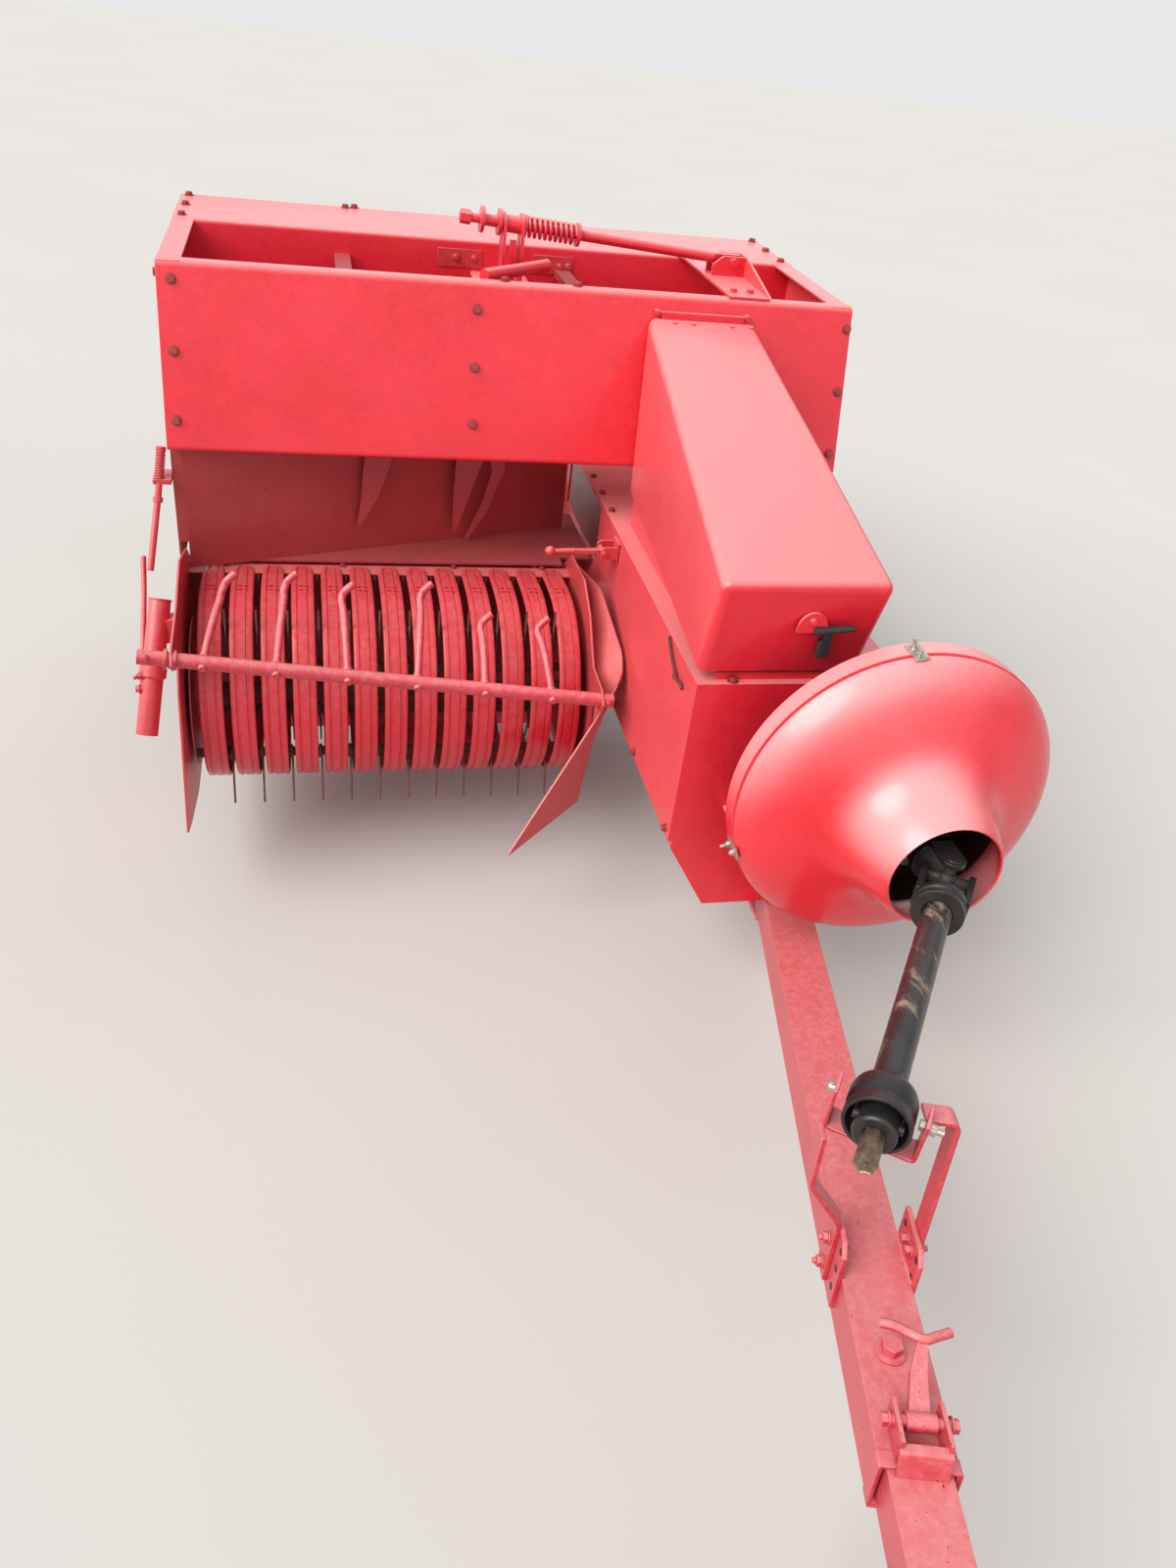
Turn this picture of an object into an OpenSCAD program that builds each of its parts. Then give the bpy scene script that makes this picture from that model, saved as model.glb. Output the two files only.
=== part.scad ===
// Small square baler, parked on its two wheels and the stand of its drawbar.
// Working frame of the numbers below: X runs to the machine's left side, Y to the rear,
// Z up from the floor. Y = 0 is the top edge of the feeder housing's front plate.

/* [Feeder housing] */
// Right end of the transverse feeder housing
housing_x0 = -730; // [-760:5:-700]
// Left end of the feeder housing
housing_x1 = 945; // [920:5:960]
// Height of its top edge above the floor
housing_top = 1420; // [1400:5:1440]
// Height of its bottom edge
housing_bottom = 1024; // [1020:2:1030]
// Depth from the front plate to the rear plate
housing_depth = 794; // [780:2:800]
// How far the foot of the front plate stands forward of its top
housing_lean = 101; // [95:1:105]
// Front edge of the wide rear top plate
rear_plate_y = 460; // [440:5:480]
// Sheet thickness of folded panels
sheet_t = 4; // [3:0.5:5]

/* [Bale chamber] */
// Right side of the chamber and of the plunger housing in front of it
box_x0 = 356; // [354:1:358]
// Left side of both
box_x1 = 828; // [826:1:830]
// Lower edge of the side walls
box_z0 = 470; // [465:1:475]
// Top of both
box_z1 = 880; // [878:1:882]
// Front face of the plunger housing
box_y0 = -934; // [-940:1:-930]
// Joint between plunger housing and chamber
box_y_mid = -110; // [-115:1:-105]
// Rear end of the chamber
box_y1 = 1950; // [1900:10:2000]
// Wall thickness
wall_t = 6; // [5:0.5:7]
// Height of the chamber floor plate's top
bale_floor_z = 508; // [506:1:510]
// Lowest edge of the front frame under the plunger housing
front_frame_z0 = 275; // [272:1:278]

/* [Drive cover and cowl] */
// Rear end of the cover: right side, left side and height
cover_rear = [408, 684, 1374]; // [350:1:1400]
// Front end of the cover's roof: right side, left side and height
cover_front = [351, 712, 1131]; // [350:1:1400]
// Distance from the hinge line forward to the cover's front edge
cover_len = 990; // [980:5:1000]
// Centre of the flywheel and its cowl: X, Z
wheel_c = [785, 680]; // [600:1:800]
// Outer radius of the cowl
cowl_r = 355; // [350:1:358]
// Rear rim of the cowl
cowl_y = -1035; // [-1040:1:-1030]
// Length from the rear rim to the mouth
cowl_len = 305; // [300:1:310]
// Outer radius of the mouth
mouth_r = 119; // [117:1:121]
// Radius of the flywheel
flywheel_r = 290; // [280:1:295]

/* [Drawbar] */
// Swing pin of the drawbar: X, Y
pin_at = [726, -800]; // [-1000:1:800]
// Height of the tube's top at the swing pin
draw_z = 240; // [235:1:245]
// Angle of the drawbar across, towards the right side
draw_yaw = 14.4; // [14:0.1:15]
// Rise of the drawbar to the front
draw_rise = 9.5; // [9:0.1:10]
// Length of the main tube
draw_len = 1570; // [1550:5:1590]
// Width and height of the main tube
draw_w = 110; // [108:1:112]
// Height of the main tube
draw_h = 80; // [78:1:82]
// Distance of the hitch eye from the swing pin
eye_s = 1960; // [1940:5:1980]
// Radius of the hitch pin's hole
eye_hole_r = 16; // [15.5:0.5:16.5]

/* [Drive shaft] */
// Centre of the universal joint in the cowl's mouth, measured along Y
joint_y = -1345; // [-1350:1:-1340]
// Length from the universal joint to the tip of the spline stub
shaft_len = 806; // [800:2:810]
// Angle of the shaft across, towards the right side
shaft_yaw = 35.3; // [35:0.1:36]
// Rise of the shaft to the front
shaft_rise = 4.3; // [4:0.1:5]
// Radius of the profile tube
shaft_r = 27; // [26:0.5:28]
// Radius of the collar at the front end
collar_r = 52; // [50:1:53]
// Radius of the six-spline stub
stub_r = 17.4; // [17.3:0.05:17.5]

/* [Pick-up] */
// Centre of the first stripper band
band_x0 = -650; // [-655:1:-645]
// Distance between bands
band_pitch = 72.6; // [72:0.1:73]
// Number of bands
band_n = 13; // [13:1:13]
// Width of a band
band_w = 52; // [50:1:53]
// Centre of the bands' round front: Y, Z
band_c = [-190, 462]; // [-500:1:500]
// Radius of the bands' round front
band_r = 250; // [248:1:252]
// Axis of the tine reel: Y, Z
reel_c = [-230, 450]; // [-500:1:500]
// Radius of the tine tips
tine_r = 290; // [285:1:290]
// Radius of the circle of tine bars
bar_r = 165; // [160:1:170]
// Pivot of the pick-up: Y, Z
lift_c = [100, 620]; // [50:1:700]
// Wind guard tube: right end
guard_a = [-786, -530, 718]; // [-800:1:800]
// Wind guard tube: left end
guard_b = [302, -530, 591]; // [-800:1:800]
// Radius of the wind guard tube
guard_r = 17; // [16:0.5:18]

/* [Wheels] */
// Radius of the tyres
tyre_r = 325; // [320:1:330]
// Width of a tyre
tyre_w = 150; // [145:1:150]
// Radius of the rim
rim_r = 195; // [190:1:200]
// Wheel axle along Y
axle_y = 950; // [940:5:960]
// Middle of the right wheel
wheel_x0 = -700; // [-705:1:-695]
// Middle of the left wheel
wheel_x1 = 940; // [935:1:945]

/* [Rear] */
// Length of the bale chute
chute_len = 520; // [500:5:540]
// Radius of the metering wheel
meter_r = 150; // [148:1:152]
// Centre of the metering wheel: Y, Z
meter_c = [1120, 972]; // [900:1:1200]
// Knotter shaft: Y, Z
knot_c = [1430, 1045]; // [900:1:1500]
// Twine box: X, Y, Z of its near lower corner
twine_at = [-600, 835, 720]; // [-600:1:900]
// Twine box: size
twine_size = [820, 330, 380]; // [300:5:900]

/* [Hidden] */
$fn = 48;
// Middle of the whole machine: the origin lies on the floor under it
mid_x = 157.6;
mid_y = -125.3;
// Pivot of the parking stand
stand_top = [210, -2447, 470];
// Middle of the last stripper band
band_x1 = band_x0 + (band_n - 1) * band_pitch;
// Hinge of the twine box's lid: Y and Z of its pin
lid_hinge = [twine_at[1] + twine_size[1] + 8, twine_at[2] + twine_size[2] + 3];
// Hinge of the drive cover: Y and Z of its pin, and the ends of the pin
cover_hinge = [-15, cover_rear[2] + 9];
cover_hinge_x = [424, 668];
paint = "#c4242c";
bare = "#8d8f92";
black = "#242426";

// Unit normal to the left of the way from a to b
function side(a, b) = [a[1] - b[1], b[0] - a[0]] / norm(b - a);
// Mitred offset of point i of a line by t
function shift(p, i, t) =
    let (n1 = side(p[max(i - 1, 0)], p[max(i, 1)]),
         n2 = side(p[min(i, len(p) - 2)], p[min(i + 1, len(p) - 1)]))
    p[i] + (n1 + n2) * t / (1 + n1 * n2);
// Outline of a folded sheet: the line p and its copy t to the left
function fold(p, t) = concat(p, [for (i = [len(p) - 1:-1:0]) shift(p, i, t)]);
// Points on an arc round c from angle a to angle b
function arc(c, r, a, b, n = 8) = [for (i = [0:n]) c + r * [cos(a + (b - a) * i / n), sin(a + (b - a) * i / n)]];

// Extrudes a drawing of (Y, Z) points from x0 to x1
module along_x(x0, x1) {
    translate([x0, 0, 0]) rotate([90, 0, 90]) linear_extrude(x1 - x0) children();
}
// Extrudes a drawing of (X, Z) points from y0 to y1
module along_y(y0, y1) {
    translate([0, y1, 0]) rotate([90, 0, 0]) linear_extrude(y1 - y0) children();
}
// Block between two corners
module block(a, b) {
    translate(a) cube(b - a);
}
// Round bar from p to q
module rod(p, q, r, fn = 24) {
    d = q - p;
    translate(p) rotate([0, acos(d[2] / norm(d)), atan2(d[1], d[0])]) cylinder(h = norm(d), r = r, $fn = fn);
}
// Disc or boss along X at (y, z)
module disc_x(x0, x1, c, r) {
    translate([x0, c[0], c[1]]) rotate([0, 90, 0]) cylinder(h = x1 - x0, r = r);
}
// Disc along Y at (x, z)
module disc_y(y0, y1, c, r) {
    translate([c[0], y0, c[1]]) rotate([-90, 0, 0]) cylinder(h = y1 - y0, r = r);
}
// Moves the working frame so that the origin lies under the machine's middle
module place() {
    translate([-mid_x, -mid_y, 0]) children();
}
// Frame of the drawbar: origin on its top at the swing pin, -Y along the tube
module on_drawbar() {
    translate([pin_at[0], pin_at[1], draw_z]) rotate([-draw_rise, 0, -draw_yaw]) children();
}
// Frame of the drive shaft: origin in the universal joint, -Y along the shaft
module on_shaft() {
    translate([wheel_c[0], joint_y, wheel_c[1]]) rotate([-shaft_rise, 0, -shaft_yaw]) children();
}

// Feeder housing: open-topped transverse box with a leaning front plate
module feeder_housing() {
    front = [[50, housing_top - 20], [50, housing_top], [16, housing_top], [4, housing_top - 5],
             [0, housing_top - 18], [-housing_lean, housing_bottom + 18], [-housing_lean + 2, housing_bottom + 5],
             [-housing_lean + 14, housing_bottom], [-housing_lean + 50, housing_bottom]];
    rear = [[rear_plate_y + 60, housing_bottom], [rear_plate_y, housing_bottom], [rear_plate_y, housing_top],
            [housing_depth, housing_top], [housing_depth, housing_bottom], [housing_depth - 100, housing_bottom]];
    end_wall = [[10, housing_top - 8], [housing_depth - 2, housing_top - 8], [housing_depth - 2, housing_bottom],
                [-housing_lean + 8, housing_bottom], [-housing_lean + 5, housing_bottom + 14]];
    color(paint) place() {
        union() {
            along_x(housing_x0, housing_x1) polygon(fold(front, sheet_t));
            along_x(housing_x0, housing_x1) polygon(fold(rear, -sheet_t));
            along_x(housing_x0, housing_x0 + sheet_t) polygon(end_wall);
            along_x(housing_x1 - sheet_t, housing_x1) polygon(end_wall);
            block([housing_x0, 8, housing_top - 8], [housing_x0 + 54, housing_depth - 2, housing_top - 1]);
            block([housing_x1 - 54, 8, housing_top - 8], [housing_x1, housing_depth - 2, housing_top - 1]);
            for (x = [cover_hinge_x[0], cover_hinge_x[1] - 12]) difference() {
                block([x, cover_hinge[0] - 7, cover_hinge[1] - 6], [x + 12, -3, cover_hinge[1] + 6]);
                disc_x(x - 1, x + 13, cover_hinge, 4.05);
            }
        }
    }
}

// Feeder fork: carrier beam under the housing with three pointed blades
module feeder_fork() {
    blades = [[30, [[-265, 1032], [-195, 1032], [-206, 956], [-236, 870], [-282, 790], [-290, 794], [-280, 860], [-276, 923]]],
              [90, [[-25, 1032], [48, 1032], [38, 950], [6, 850], [-24, 752], [-32, 756], [-34, 850], [-32, 923]]],
              [112, [[45, 1032], [112, 1032], [101, 918], [60, 800], [12, 722], [4, 726], [48, 830], [69, 918]]]];
    color(paint) place() union() {
        block([-330, 70, 1030], [300, 150, 1060]);
        block([-265, 30, 1030], [-195, 75, 1044]);
        for (b = blades) along_y(b[0], b[0] + 10) polygon(b[1]);
        block([-330, 100, 1055], [-310, 120, 1330]);
        block([280, 100, 1055], [300, 120, 1330]);
        block([-330, 60, 1330], [300, 160, 1345]);
        block([-330, -6.2, 1345], [-290, rear_plate_y, 1365]);
        block([260, -6.2, 1345], [300, rear_plate_y, 1365]);
    }
}

// Feed table: floor behind the bands and the slanting back wall
module feed_table() {
    floor_z = 708;
    wall_foot = [[-704, -66.7], [300, 235]];
    color(paint) place() union() {
        translate([0, 0, floor_z]) linear_extrude(6)
            polygon([[-545, -20], [258, -20], [258, 25], [345, 25], [345, 330], [290, 330], wall_foot[1]]);
        translate([0, 0, floor_z + 5]) linear_extrude(housing_bottom - floor_z - 9) polygon(fold(wall_foot, -5));
        block([-728, -66, 780], [-700, -61, housing_bottom]);
        block([-728, -66, floor_z], [-723, 160, housing_bottom]);
    }
}

// Spring rod and lever on top of the housing
module packer_linkage() {
    y = 262;
    z = 1512;
    drop = -0.075;
    function at(x) = [x, y, z + drop * x];
    color(paint) place() union() {
        rod(at(-28), at(275), 11);
        rod(at(270), at(700), 13);
        rod(at(-30), at(4), 16, 6);
        rod(at(22), at(34), 30);
        rod(at(62), at(74), 30);
        rod(at(134), at(272), 26);
        disc_x(80, 134, [y, z - 8], 24);
        block([78, y - 30, 1340], [86, y + 30, z - 6]);
        block([124, y - 30, 1340], [132, y + 30, z - 6]);
        block([78, y - 24, 1340], [132, y + 24, 1352]);
        block([30, y - 20, 1332], [180, rear_plate_y, 1345]);
        translate([0, 0, housing_top]) linear_extrude(6)
            polygon([[616, 10], [721, 10], [728, 80], [728, 300], [650, rear_plate_y + 20], [600, rear_plate_y + 20], [613, rear_plate_y - 30]]);
        for (side_y = [y - 30, y + 22])
            block([631, side_y, housing_top + 4], [726, side_y + 8, at(678)[2] + 14]);
        rod([690, y - 36, at(690)[2]], [690, y + 36, at(690)[2]], 9);
    }
}

// Plunger housing: closed front part of the chamber, with the curb of the drive cover
module plunger_housing() {
    curb = [[box_y0 + 20, box_z1 - 2], [box_y0 + 20, 896], [-128, 966], [-128, box_z1 - 2]];
    color(paint) place() difference() {
        union() {
            block([box_x0, box_y0, box_z0], [box_x1, box_y_mid, box_z1]);
            along_x(402, 406) polygon(curb);
            along_x(670, 674) polygon(curb);
            block([402, box_y0 + 20, box_z1 - 2], [674, box_y0 + 24, 896]);
        }
        block([box_x0 + wall_t, box_y0 + wall_t, box_z0 + wall_t], [box_x1 - wall_t, box_y_mid + 1, box_z1 - wall_t]);
    }
    color(paint) place() for (x = [box_x0 + wall_t, box_x1 - wall_t - 30])
        block([x, box_y0 + wall_t, box_z0 + wall_t], [x + 30, box_y_mid, bale_floor_z]);
}

// Plunger: the ram that packs the bale, plain
module plunger() {
    color(bare) place() union() {
        block([box_x0 + 16, -560, bale_floor_z + 0.4], [box_x1 - 16, -170, box_z1 - 16]);
        block([box_x0 + 30, -720, 640], [box_x0 + 60, -560, 740]);
        block([box_x1 - 60, -720, 640], [box_x1 - 30, -560, 740]);
    }
}

// Bale chamber: channel with a feed opening in its right wall and an open rear end
module bale_chamber() {
    y0 = box_y_mid;
    top_end = 1560;
    color(paint) place() difference() {
        union() {
            block([box_x0, y0, box_z0], [box_x0 + wall_t, box_y1, box_z1]);
            block([box_x1 - wall_t, y0, box_z0], [box_x1, box_y1, box_z1]);
            block([box_x0, y0, bale_floor_z - wall_t], [box_x1, box_y1, bale_floor_z]);
            block([box_x0, y0, box_z1 - wall_t], [box_x1, top_end, box_z1]);
            for (x = [box_x0, box_x1 - wall_t]) along_x(x, x + wall_t)
                polygon([[1890, 466], [1890, 540], [box_y1, 540], [1992, 500], [1992, 466]]);
            for (y = [560, 1240, 1860]) {
                block([box_x0 - 10, y, box_z0 - 10], [box_x0 + 1, y + 40, box_z1]);
                block([box_x1 - 1, y, box_z0 - 10], [box_x1 + 10, y + 40, box_z1]);
                block([box_x0 - 10, y, box_z0 - 14], [box_x1 + 10, y + 40, box_z0]);
            }
            for (z = [560, 790]) {
                block([box_x0 - 10, 600, z], [box_x0 + 1, box_y1, z + 30]);
                block([box_x1 - 1, -60, z], [box_x1 + 10, box_y1, z + 30]);
            }
        }
        block([box_x0 - 20, 10, 712], [box_x0 + wall_t + 1, 430, box_z1 - wall_t - 4]);
        block([box_x0 + 60, 20, bale_floor_z - wall_t - 1], [box_x1 - 60, 420, bale_floor_z + 1]);
        block([588, meter_c[0] - 130, box_z1 - wall_t - 1], [612, meter_c[0] + 130, box_z1 + 1]);
        disc_x(box_x0 - 20, box_x1 + 20, [box_y1 + 22, 486], 12.05);
        for (x = [480, 700]) {
            block([x, 1330, box_z1 - wall_t - 1], [x + 24, 1530, box_z1 + 1]);
            block([x, 1180, bale_floor_z - wall_t - 1], [x + 24, 1480, bale_floor_z + 1]);
        }
    }
}

// Front frame under the plunger housing, with the jaw and pin of the drawbar
module front_frame() {
    outline = [[365, box_z0], [365, 450], [470, front_frame_z0], [760, front_frame_z0], [820, 400], [820, box_z0]];
    jaw_z = 130;
    color(paint) place() union() {
        along_y(box_y0, box_y0 + 8) polygon(outline);
        difference() {
            along_y(box_y0 + 4, -520) polygon(outline);
            along_y(box_y0 + 2, -519) offset(delta = -8) polygon(outline);
            block([300, -700, 200], [900, -500, front_frame_z0 + 40]);
        }
        block([pin_at[0] - 90, -730, jaw_z], [pin_at[0] + 74, -716, 400]);
        block([pin_at[0] - 60, pin_at[1] - 50, jaw_z], [pin_at[0] + 60, -716, jaw_z + 12]);
        translate([pin_at[0], pin_at[1], jaw_z - 10]) cylinder(h = front_frame_z0 - jaw_z + 30, r = 15);
    }
}

// Main frame: beams that tie the chamber, the housing and the right wheel together
module main_frame() {
    color(paint) place() union() {
        block([-610, 700, 560], [box_x0 - 10, 780, 640]);
        block([-700, 130, 590], [box_x0, 190, 650]);
        block([-640, 186, 590], [-580, 702, 650]);
        block([-640, 462, 640], [-580, 518, housing_bottom]);
        block([-610, 720, 630], [-550, 780, housing_bottom]);
        block([200, 730, 636], [260, 780, housing_bottom]);
        for (x = [-702, 200]) difference() {
            block([x, 60, 590], [x + 10, 136, 650]);
            disc_x(x - 1, x + 11, lift_c, 10.05);
        }
        block([286, 700, 400], [346, 760, 562]);
        block([286, 700, 400], [box_x1 + 30, 760, 456]);
        block([box_x1 + 10, 700, 400], [box_x1 + 30, 760, housing_bottom]);
        block([box_x1 + 10, 60, 560], [box_x1 + 30, 702, 600]);
        block([box_x1 + 10, 462, 596], [box_x1 + 30, 512, housing_bottom]);
    }
}

// Drive cover: sloping lid hinged at the top of the housing's front plate
module drive_cover() {
    t = sheet_t;
    hinge_y = -6;
    function section(inset) = [
        [cover_rear[0] + inset, hinge_y - 4, cover_rear[2] - inset],
        [cover_rear[1] - inset, hinge_y - 4, cover_rear[2] - inset],
        [cover_front[0] + inset, -cover_len + inset, cover_front[2] - inset],
        [cover_front[1] - inset, -cover_len + inset, cover_front[2] - inset]];
    function low(inset) = [
        [388 + inset, -housing_lean - 20, 978 - inset],
        [690 - inset, -housing_lean - 20, 978 - inset],
        [356 + inset, box_y0 - 6 + inset, 903 - inset],
        [706 - inset, box_y0 - 6 + inset, 903 - inset]];
    faces = [[0, 1, 3], [0, 3, 2], [4, 6, 7], [4, 7, 5], [0, 2, 6], [0, 6, 4],
             [1, 5, 7], [1, 7, 3], [2, 3, 7], [2, 7, 6], [0, 4, 5], [0, 5, 1]];
    inner_top = [[cover_rear[0] + t, hinge_y + 20, cover_rear[2] - t], [cover_rear[1] - t, hinge_y + 20, cover_rear[2] - t],
                 [cover_front[0] + t, -cover_len + t, cover_front[2] - t], [cover_front[1] - t, -cover_len + t, cover_front[2] - t]];
    inner_low = [[388 + t, -housing_lean + 20, 900], [690 - t, -housing_lean + 20, 900],
                 [356 + t, box_y0 - 2, box_z1], [706 - t, box_y0 - 2, box_z1]];
    color(paint) place() union() {
        difference() {
            polyhedron(concat(section(0), low(0)), faces);
            polyhedron(concat(inner_top, inner_low), faces);
        }
        disc_x(cover_hinge_x[0], cover_hinge_x[1], cover_hinge, 4);
        block([cover_hinge_x[0] + 16, cover_hinge[0] - 4, cover_hinge[1] - 14], [cover_hinge_x[1] - 16, cover_hinge[0] + 4, cover_hinge[1]]);
    }
}

// Flywheel cowl: bell-shaped shield that narrows to a mouth round the universal joint
module flywheel_cowl() {
    bell = [[1, 0], [1, 0.1], [0.979, 0.164], [0.915, 0.262], [0.767, 0.367], [0.576, 0.443], [0.407, 0.492],
            [0.28, 0.541], [0.195, 0.607], [0.131, 0.705], [0.081, 0.82], [0, 1]];
    profile = [for (b = bell) [mouth_r + (cowl_r - mouth_r) * b[0], cowl_len * b[1]]];
    ring = [[cowl_r - 30, 0], [cowl_r, 0], [cowl_r, 4], [cowl_r - 30, 4]];
    color(paint) place() union() {
        translate([wheel_c[0], cowl_y, wheel_c[1]]) rotate([90, 0, 0])
            rotate_extrude($fn = 72) polygon(fold(profile, sheet_t));
        translate([wheel_c[0], cowl_y, wheel_c[1]]) rotate([90, 0, 0])
            rotate_extrude($fn = 72) polygon(ring);
        block([470, cowl_y - 8, 780], [500, box_y0, 786]);
        block([wheel_c[0] - 20, cowl_y - 2, wheel_c[1] + cowl_r - 30], [wheel_c[0] + 20, -1000, wheel_c[1] + cowl_r - 24]);
        block([470, cowl_y - 8, 560], [500, box_y0, 566]);
        block([wheel_c[0] - 40, cowl_y - 8, 345], [wheel_c[0] + 20, box_y0, 353]);
    }
}

// Flywheel and its hub on the input shaft
module flywheel() {
    color(bare) place() difference() {
        union() {
            difference() {
                disc_y(-1110, -1060, wheel_c, flywheel_r);
                disc_y(-1114, -1085, wheel_c, flywheel_r - 45);
            }
            disc_y(-1150, -1000, wheel_c, 60);
        }
        disc_y(-1151, -999, wheel_c, 25.05);
        for (a = [0:60:300]) rotate_about_y(a) disc_y(-1120, -1050, wheel_c + [165, 0], 42);
    }
}
// Turns its children about the flywheel's axis
module rotate_about_y(a) {
    translate([wheel_c[0], 0, wheel_c[1]]) rotate([0, a, 0]) translate([-wheel_c[0], 0, -wheel_c[1]]) children();
}

// Input shaft with the yoke inside the cowl's mouth
module input_yoke() {
    color(black) place() union() {
        disc_y(-1262, box_y0, wheel_c, 25);
        disc_y(-1290, -1170, wheel_c, 42);
        for (s = [-1, 1]) difference() {
            block([wheel_c[0] - 24, joint_y - 24, wheel_c[1] + (s > 0 ? 40 : -52)],
                  [wheel_c[0] + 24, -1270, wheel_c[1] + (s > 0 ? 52 : -40)]);
            translate([wheel_c[0], joint_y, wheel_c[1] + s * 46]) cylinder(h = 14, r = 12.05, center = true);
        }
        for (s = [-1, 1])
            block([wheel_c[0] - 24, -1290, wheel_c[1] + (s > 0 ? 30 : -52)], [wheel_c[0] + 24, -1268, wheel_c[1] + (s > 0 ? 52 : -30)]);
    }
}

// Cross of the universal joint
module joint_cross() {
    color(bare) place() translate([wheel_c[0], joint_y, wheel_c[1]]) union() {
        cylinder(h = 102, r = 12, center = true);
        rotate([0, 0, -shaft_yaw]) rotate([0, 90, 0]) cylinder(h = 102, r = 12, center = true);
        sphere(r = 20, $fn = 24);
    }
}

// Drive shaft: yoke, guarded profile tube, front collar and splined stub
module drive_shaft() {
    color(black) place() on_shaft() union() {
        for (s = [-1, 1]) difference() {
            block([s > 0 ? 40 : -52, -75, -22], [s > 0 ? 52 : -40, 20, 22]);
            translate([s * 46, 0, 0]) rotate([0, 90, 0]) cylinder(h = 14, r = 12.05, center = true);
        }
        block([-52, -95, -22], [52, -73, 22]);
        rod([0, -90, 0], [0, -130, 0], 50);
        rod([0, -120, 0], [0, -shaft_len + 140, 0], shaft_r);
        rod([0, -shaft_len + 160, 0], [0, -shaft_len + 84, 0], collar_r);
        rod([0, -shaft_len + 90, 0], [0, -shaft_len + 62, 0], 34);
        rod([0, -shaft_len + 70, 0], [0, -shaft_len, 0], stub_r, 48);
    }
}

// Drawbar: box tube with the boss of the swing pin
module drawbar() {
    color(paint) place() difference() {
        union() {
            on_drawbar() difference() {
                block([-draw_w / 2, -draw_len, -draw_h], [draw_w / 2, -30, 0]);
                block([-draw_w / 2 + 5, -draw_len - 1, -draw_h + 5], [draw_w / 2 - 5, -200, -5]);
            }
            translate([pin_at[0], pin_at[1], 148]) cylinder(h = 120, r = 50);
        }
        translate([pin_at[0], pin_at[1], 100]) cylinder(h = 250, r = 15.05);
    }
}

// Inner tongue with the hitch eye and the pin of the parking stand
module hitch_tongue() {
    color(paint) place() union() {
        on_drawbar() difference() {
            union() {
                block([-45, -eye_s + 40, -draw_h + 5], [45, -draw_len + 180, -5]);
                translate([0, -eye_s, -draw_h + 5]) cylinder(h = draw_h - 10, r = 45);
            }
            translate([0, -eye_s, -100]) cylinder(h = 120, r = eye_hole_r);
            block([-46, -eye_s - 60, -52], [46, -eye_s + 70, -28]);
        }
        disc_x(stand_top[0] - 26, stand_top[0] + 62, [stand_top[1], stand_top[2]], 12);
    }
}

// Cradle on the drawbar that carries the end of the drive shaft
module shaft_cradle() {
    reach = 680;
    c = [wheel_c[0] - sin(shaft_yaw) * cos(shaft_rise) * reach, joint_y - cos(shaft_yaw) * cos(shaft_rise) * reach];
    floor_z = wheel_c[1] + sin(shaft_rise) * reach - collar_r - 14;
    half = 66;
    s = 1208;
    color(paint) place() union() {
        on_drawbar() for (k = [-1, 1]) block([k > 0 ? 55 : -63, -s - 60, -64], [k > 0 ? 63 : -55, -s + 50, 60]);
        on_drawbar() along_y(-s - 20, -s + 20) polygon(fold([[-62, -50], [-62, 70], [-121, 140], [-121, 238]], 8));
        on_drawbar() along_y(-s - 20, -s + 20) polygon(fold([[62, -50], [62, 285], [16, 285]], -8));
        translate([c[0], c[1], floor_z]) rotate([0, 0, -shaft_yaw]) union() {
            block([-half - 6, -22, 0], [half + 6, 22, 8]);
            block([-half - 6, -22, 0], [-half, 22, 84]);
            block([half, -22, 0], [half + 6, 22, 84]);
        }
    }
}

// Latch that locks the inner tongue
module drawbar_latch() {
    s = draw_len - 70;
    color(paint) place() on_drawbar() union() {
        block([-34, -s - 40, 0], [34, -s + 30, 8]);
        block([-34, -s - 40, 8], [-26, -s + 30, 50]);
        block([26, -s - 40, 8], [34, -s + 30, 50]);
        rod([-44, -s, 30], [44, -s, 30], 8);
        rod([0, -s, 30], [0, -s + 130, 60], 9);
        rod([-45, -s + 130, 60], [45, -s + 130, 60], 8);
    }
}

// Parking stand: tube with a foot, hung on a pin beside the tongue
module parking_stand() {
    color(paint) place() difference() {
        union() {
            disc_x(stand_top[0] - 22, stand_top[0] + 22, [stand_top[1], stand_top[2]], 34);
            block([stand_top[0] - 22, stand_top[1] - 22, 10], [stand_top[0] + 22, stand_top[1] + 22, stand_top[2]]);
            block([stand_top[0] - 75, stand_top[1] - 90, 0], [stand_top[0] + 75, stand_top[1] + 90, 12]);
        }
        disc_x(stand_top[0] - 30, stand_top[0] + 30, [stand_top[1], stand_top[2]], 12.05);
    }
}

// Axle beam under the chamber with spindles and hubs
module axle() {
    color(paint) place() union() {
        block([-600, axle_y - 40, 290], [box_x1 + 14, axle_y + 40, 370]);
        for (x = [box_x0 - 14, box_x1]) block([x, axle_y - 40, 366], [x + 14, axle_y + 40, box_z0 + 40]);
        block([-600, axle_y - 40, 360], [-540, axle_y + 40, twine_at[2]]);
        block([-600, 780, 560], [-540, axle_y + 40, 600]);
        disc_x(-770, -590, [axle_y, tyre_r], 22);
        disc_x(box_x1 + 5, wheel_x1 + 70, [axle_y, tyre_r], 22);
    }
}

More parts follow.
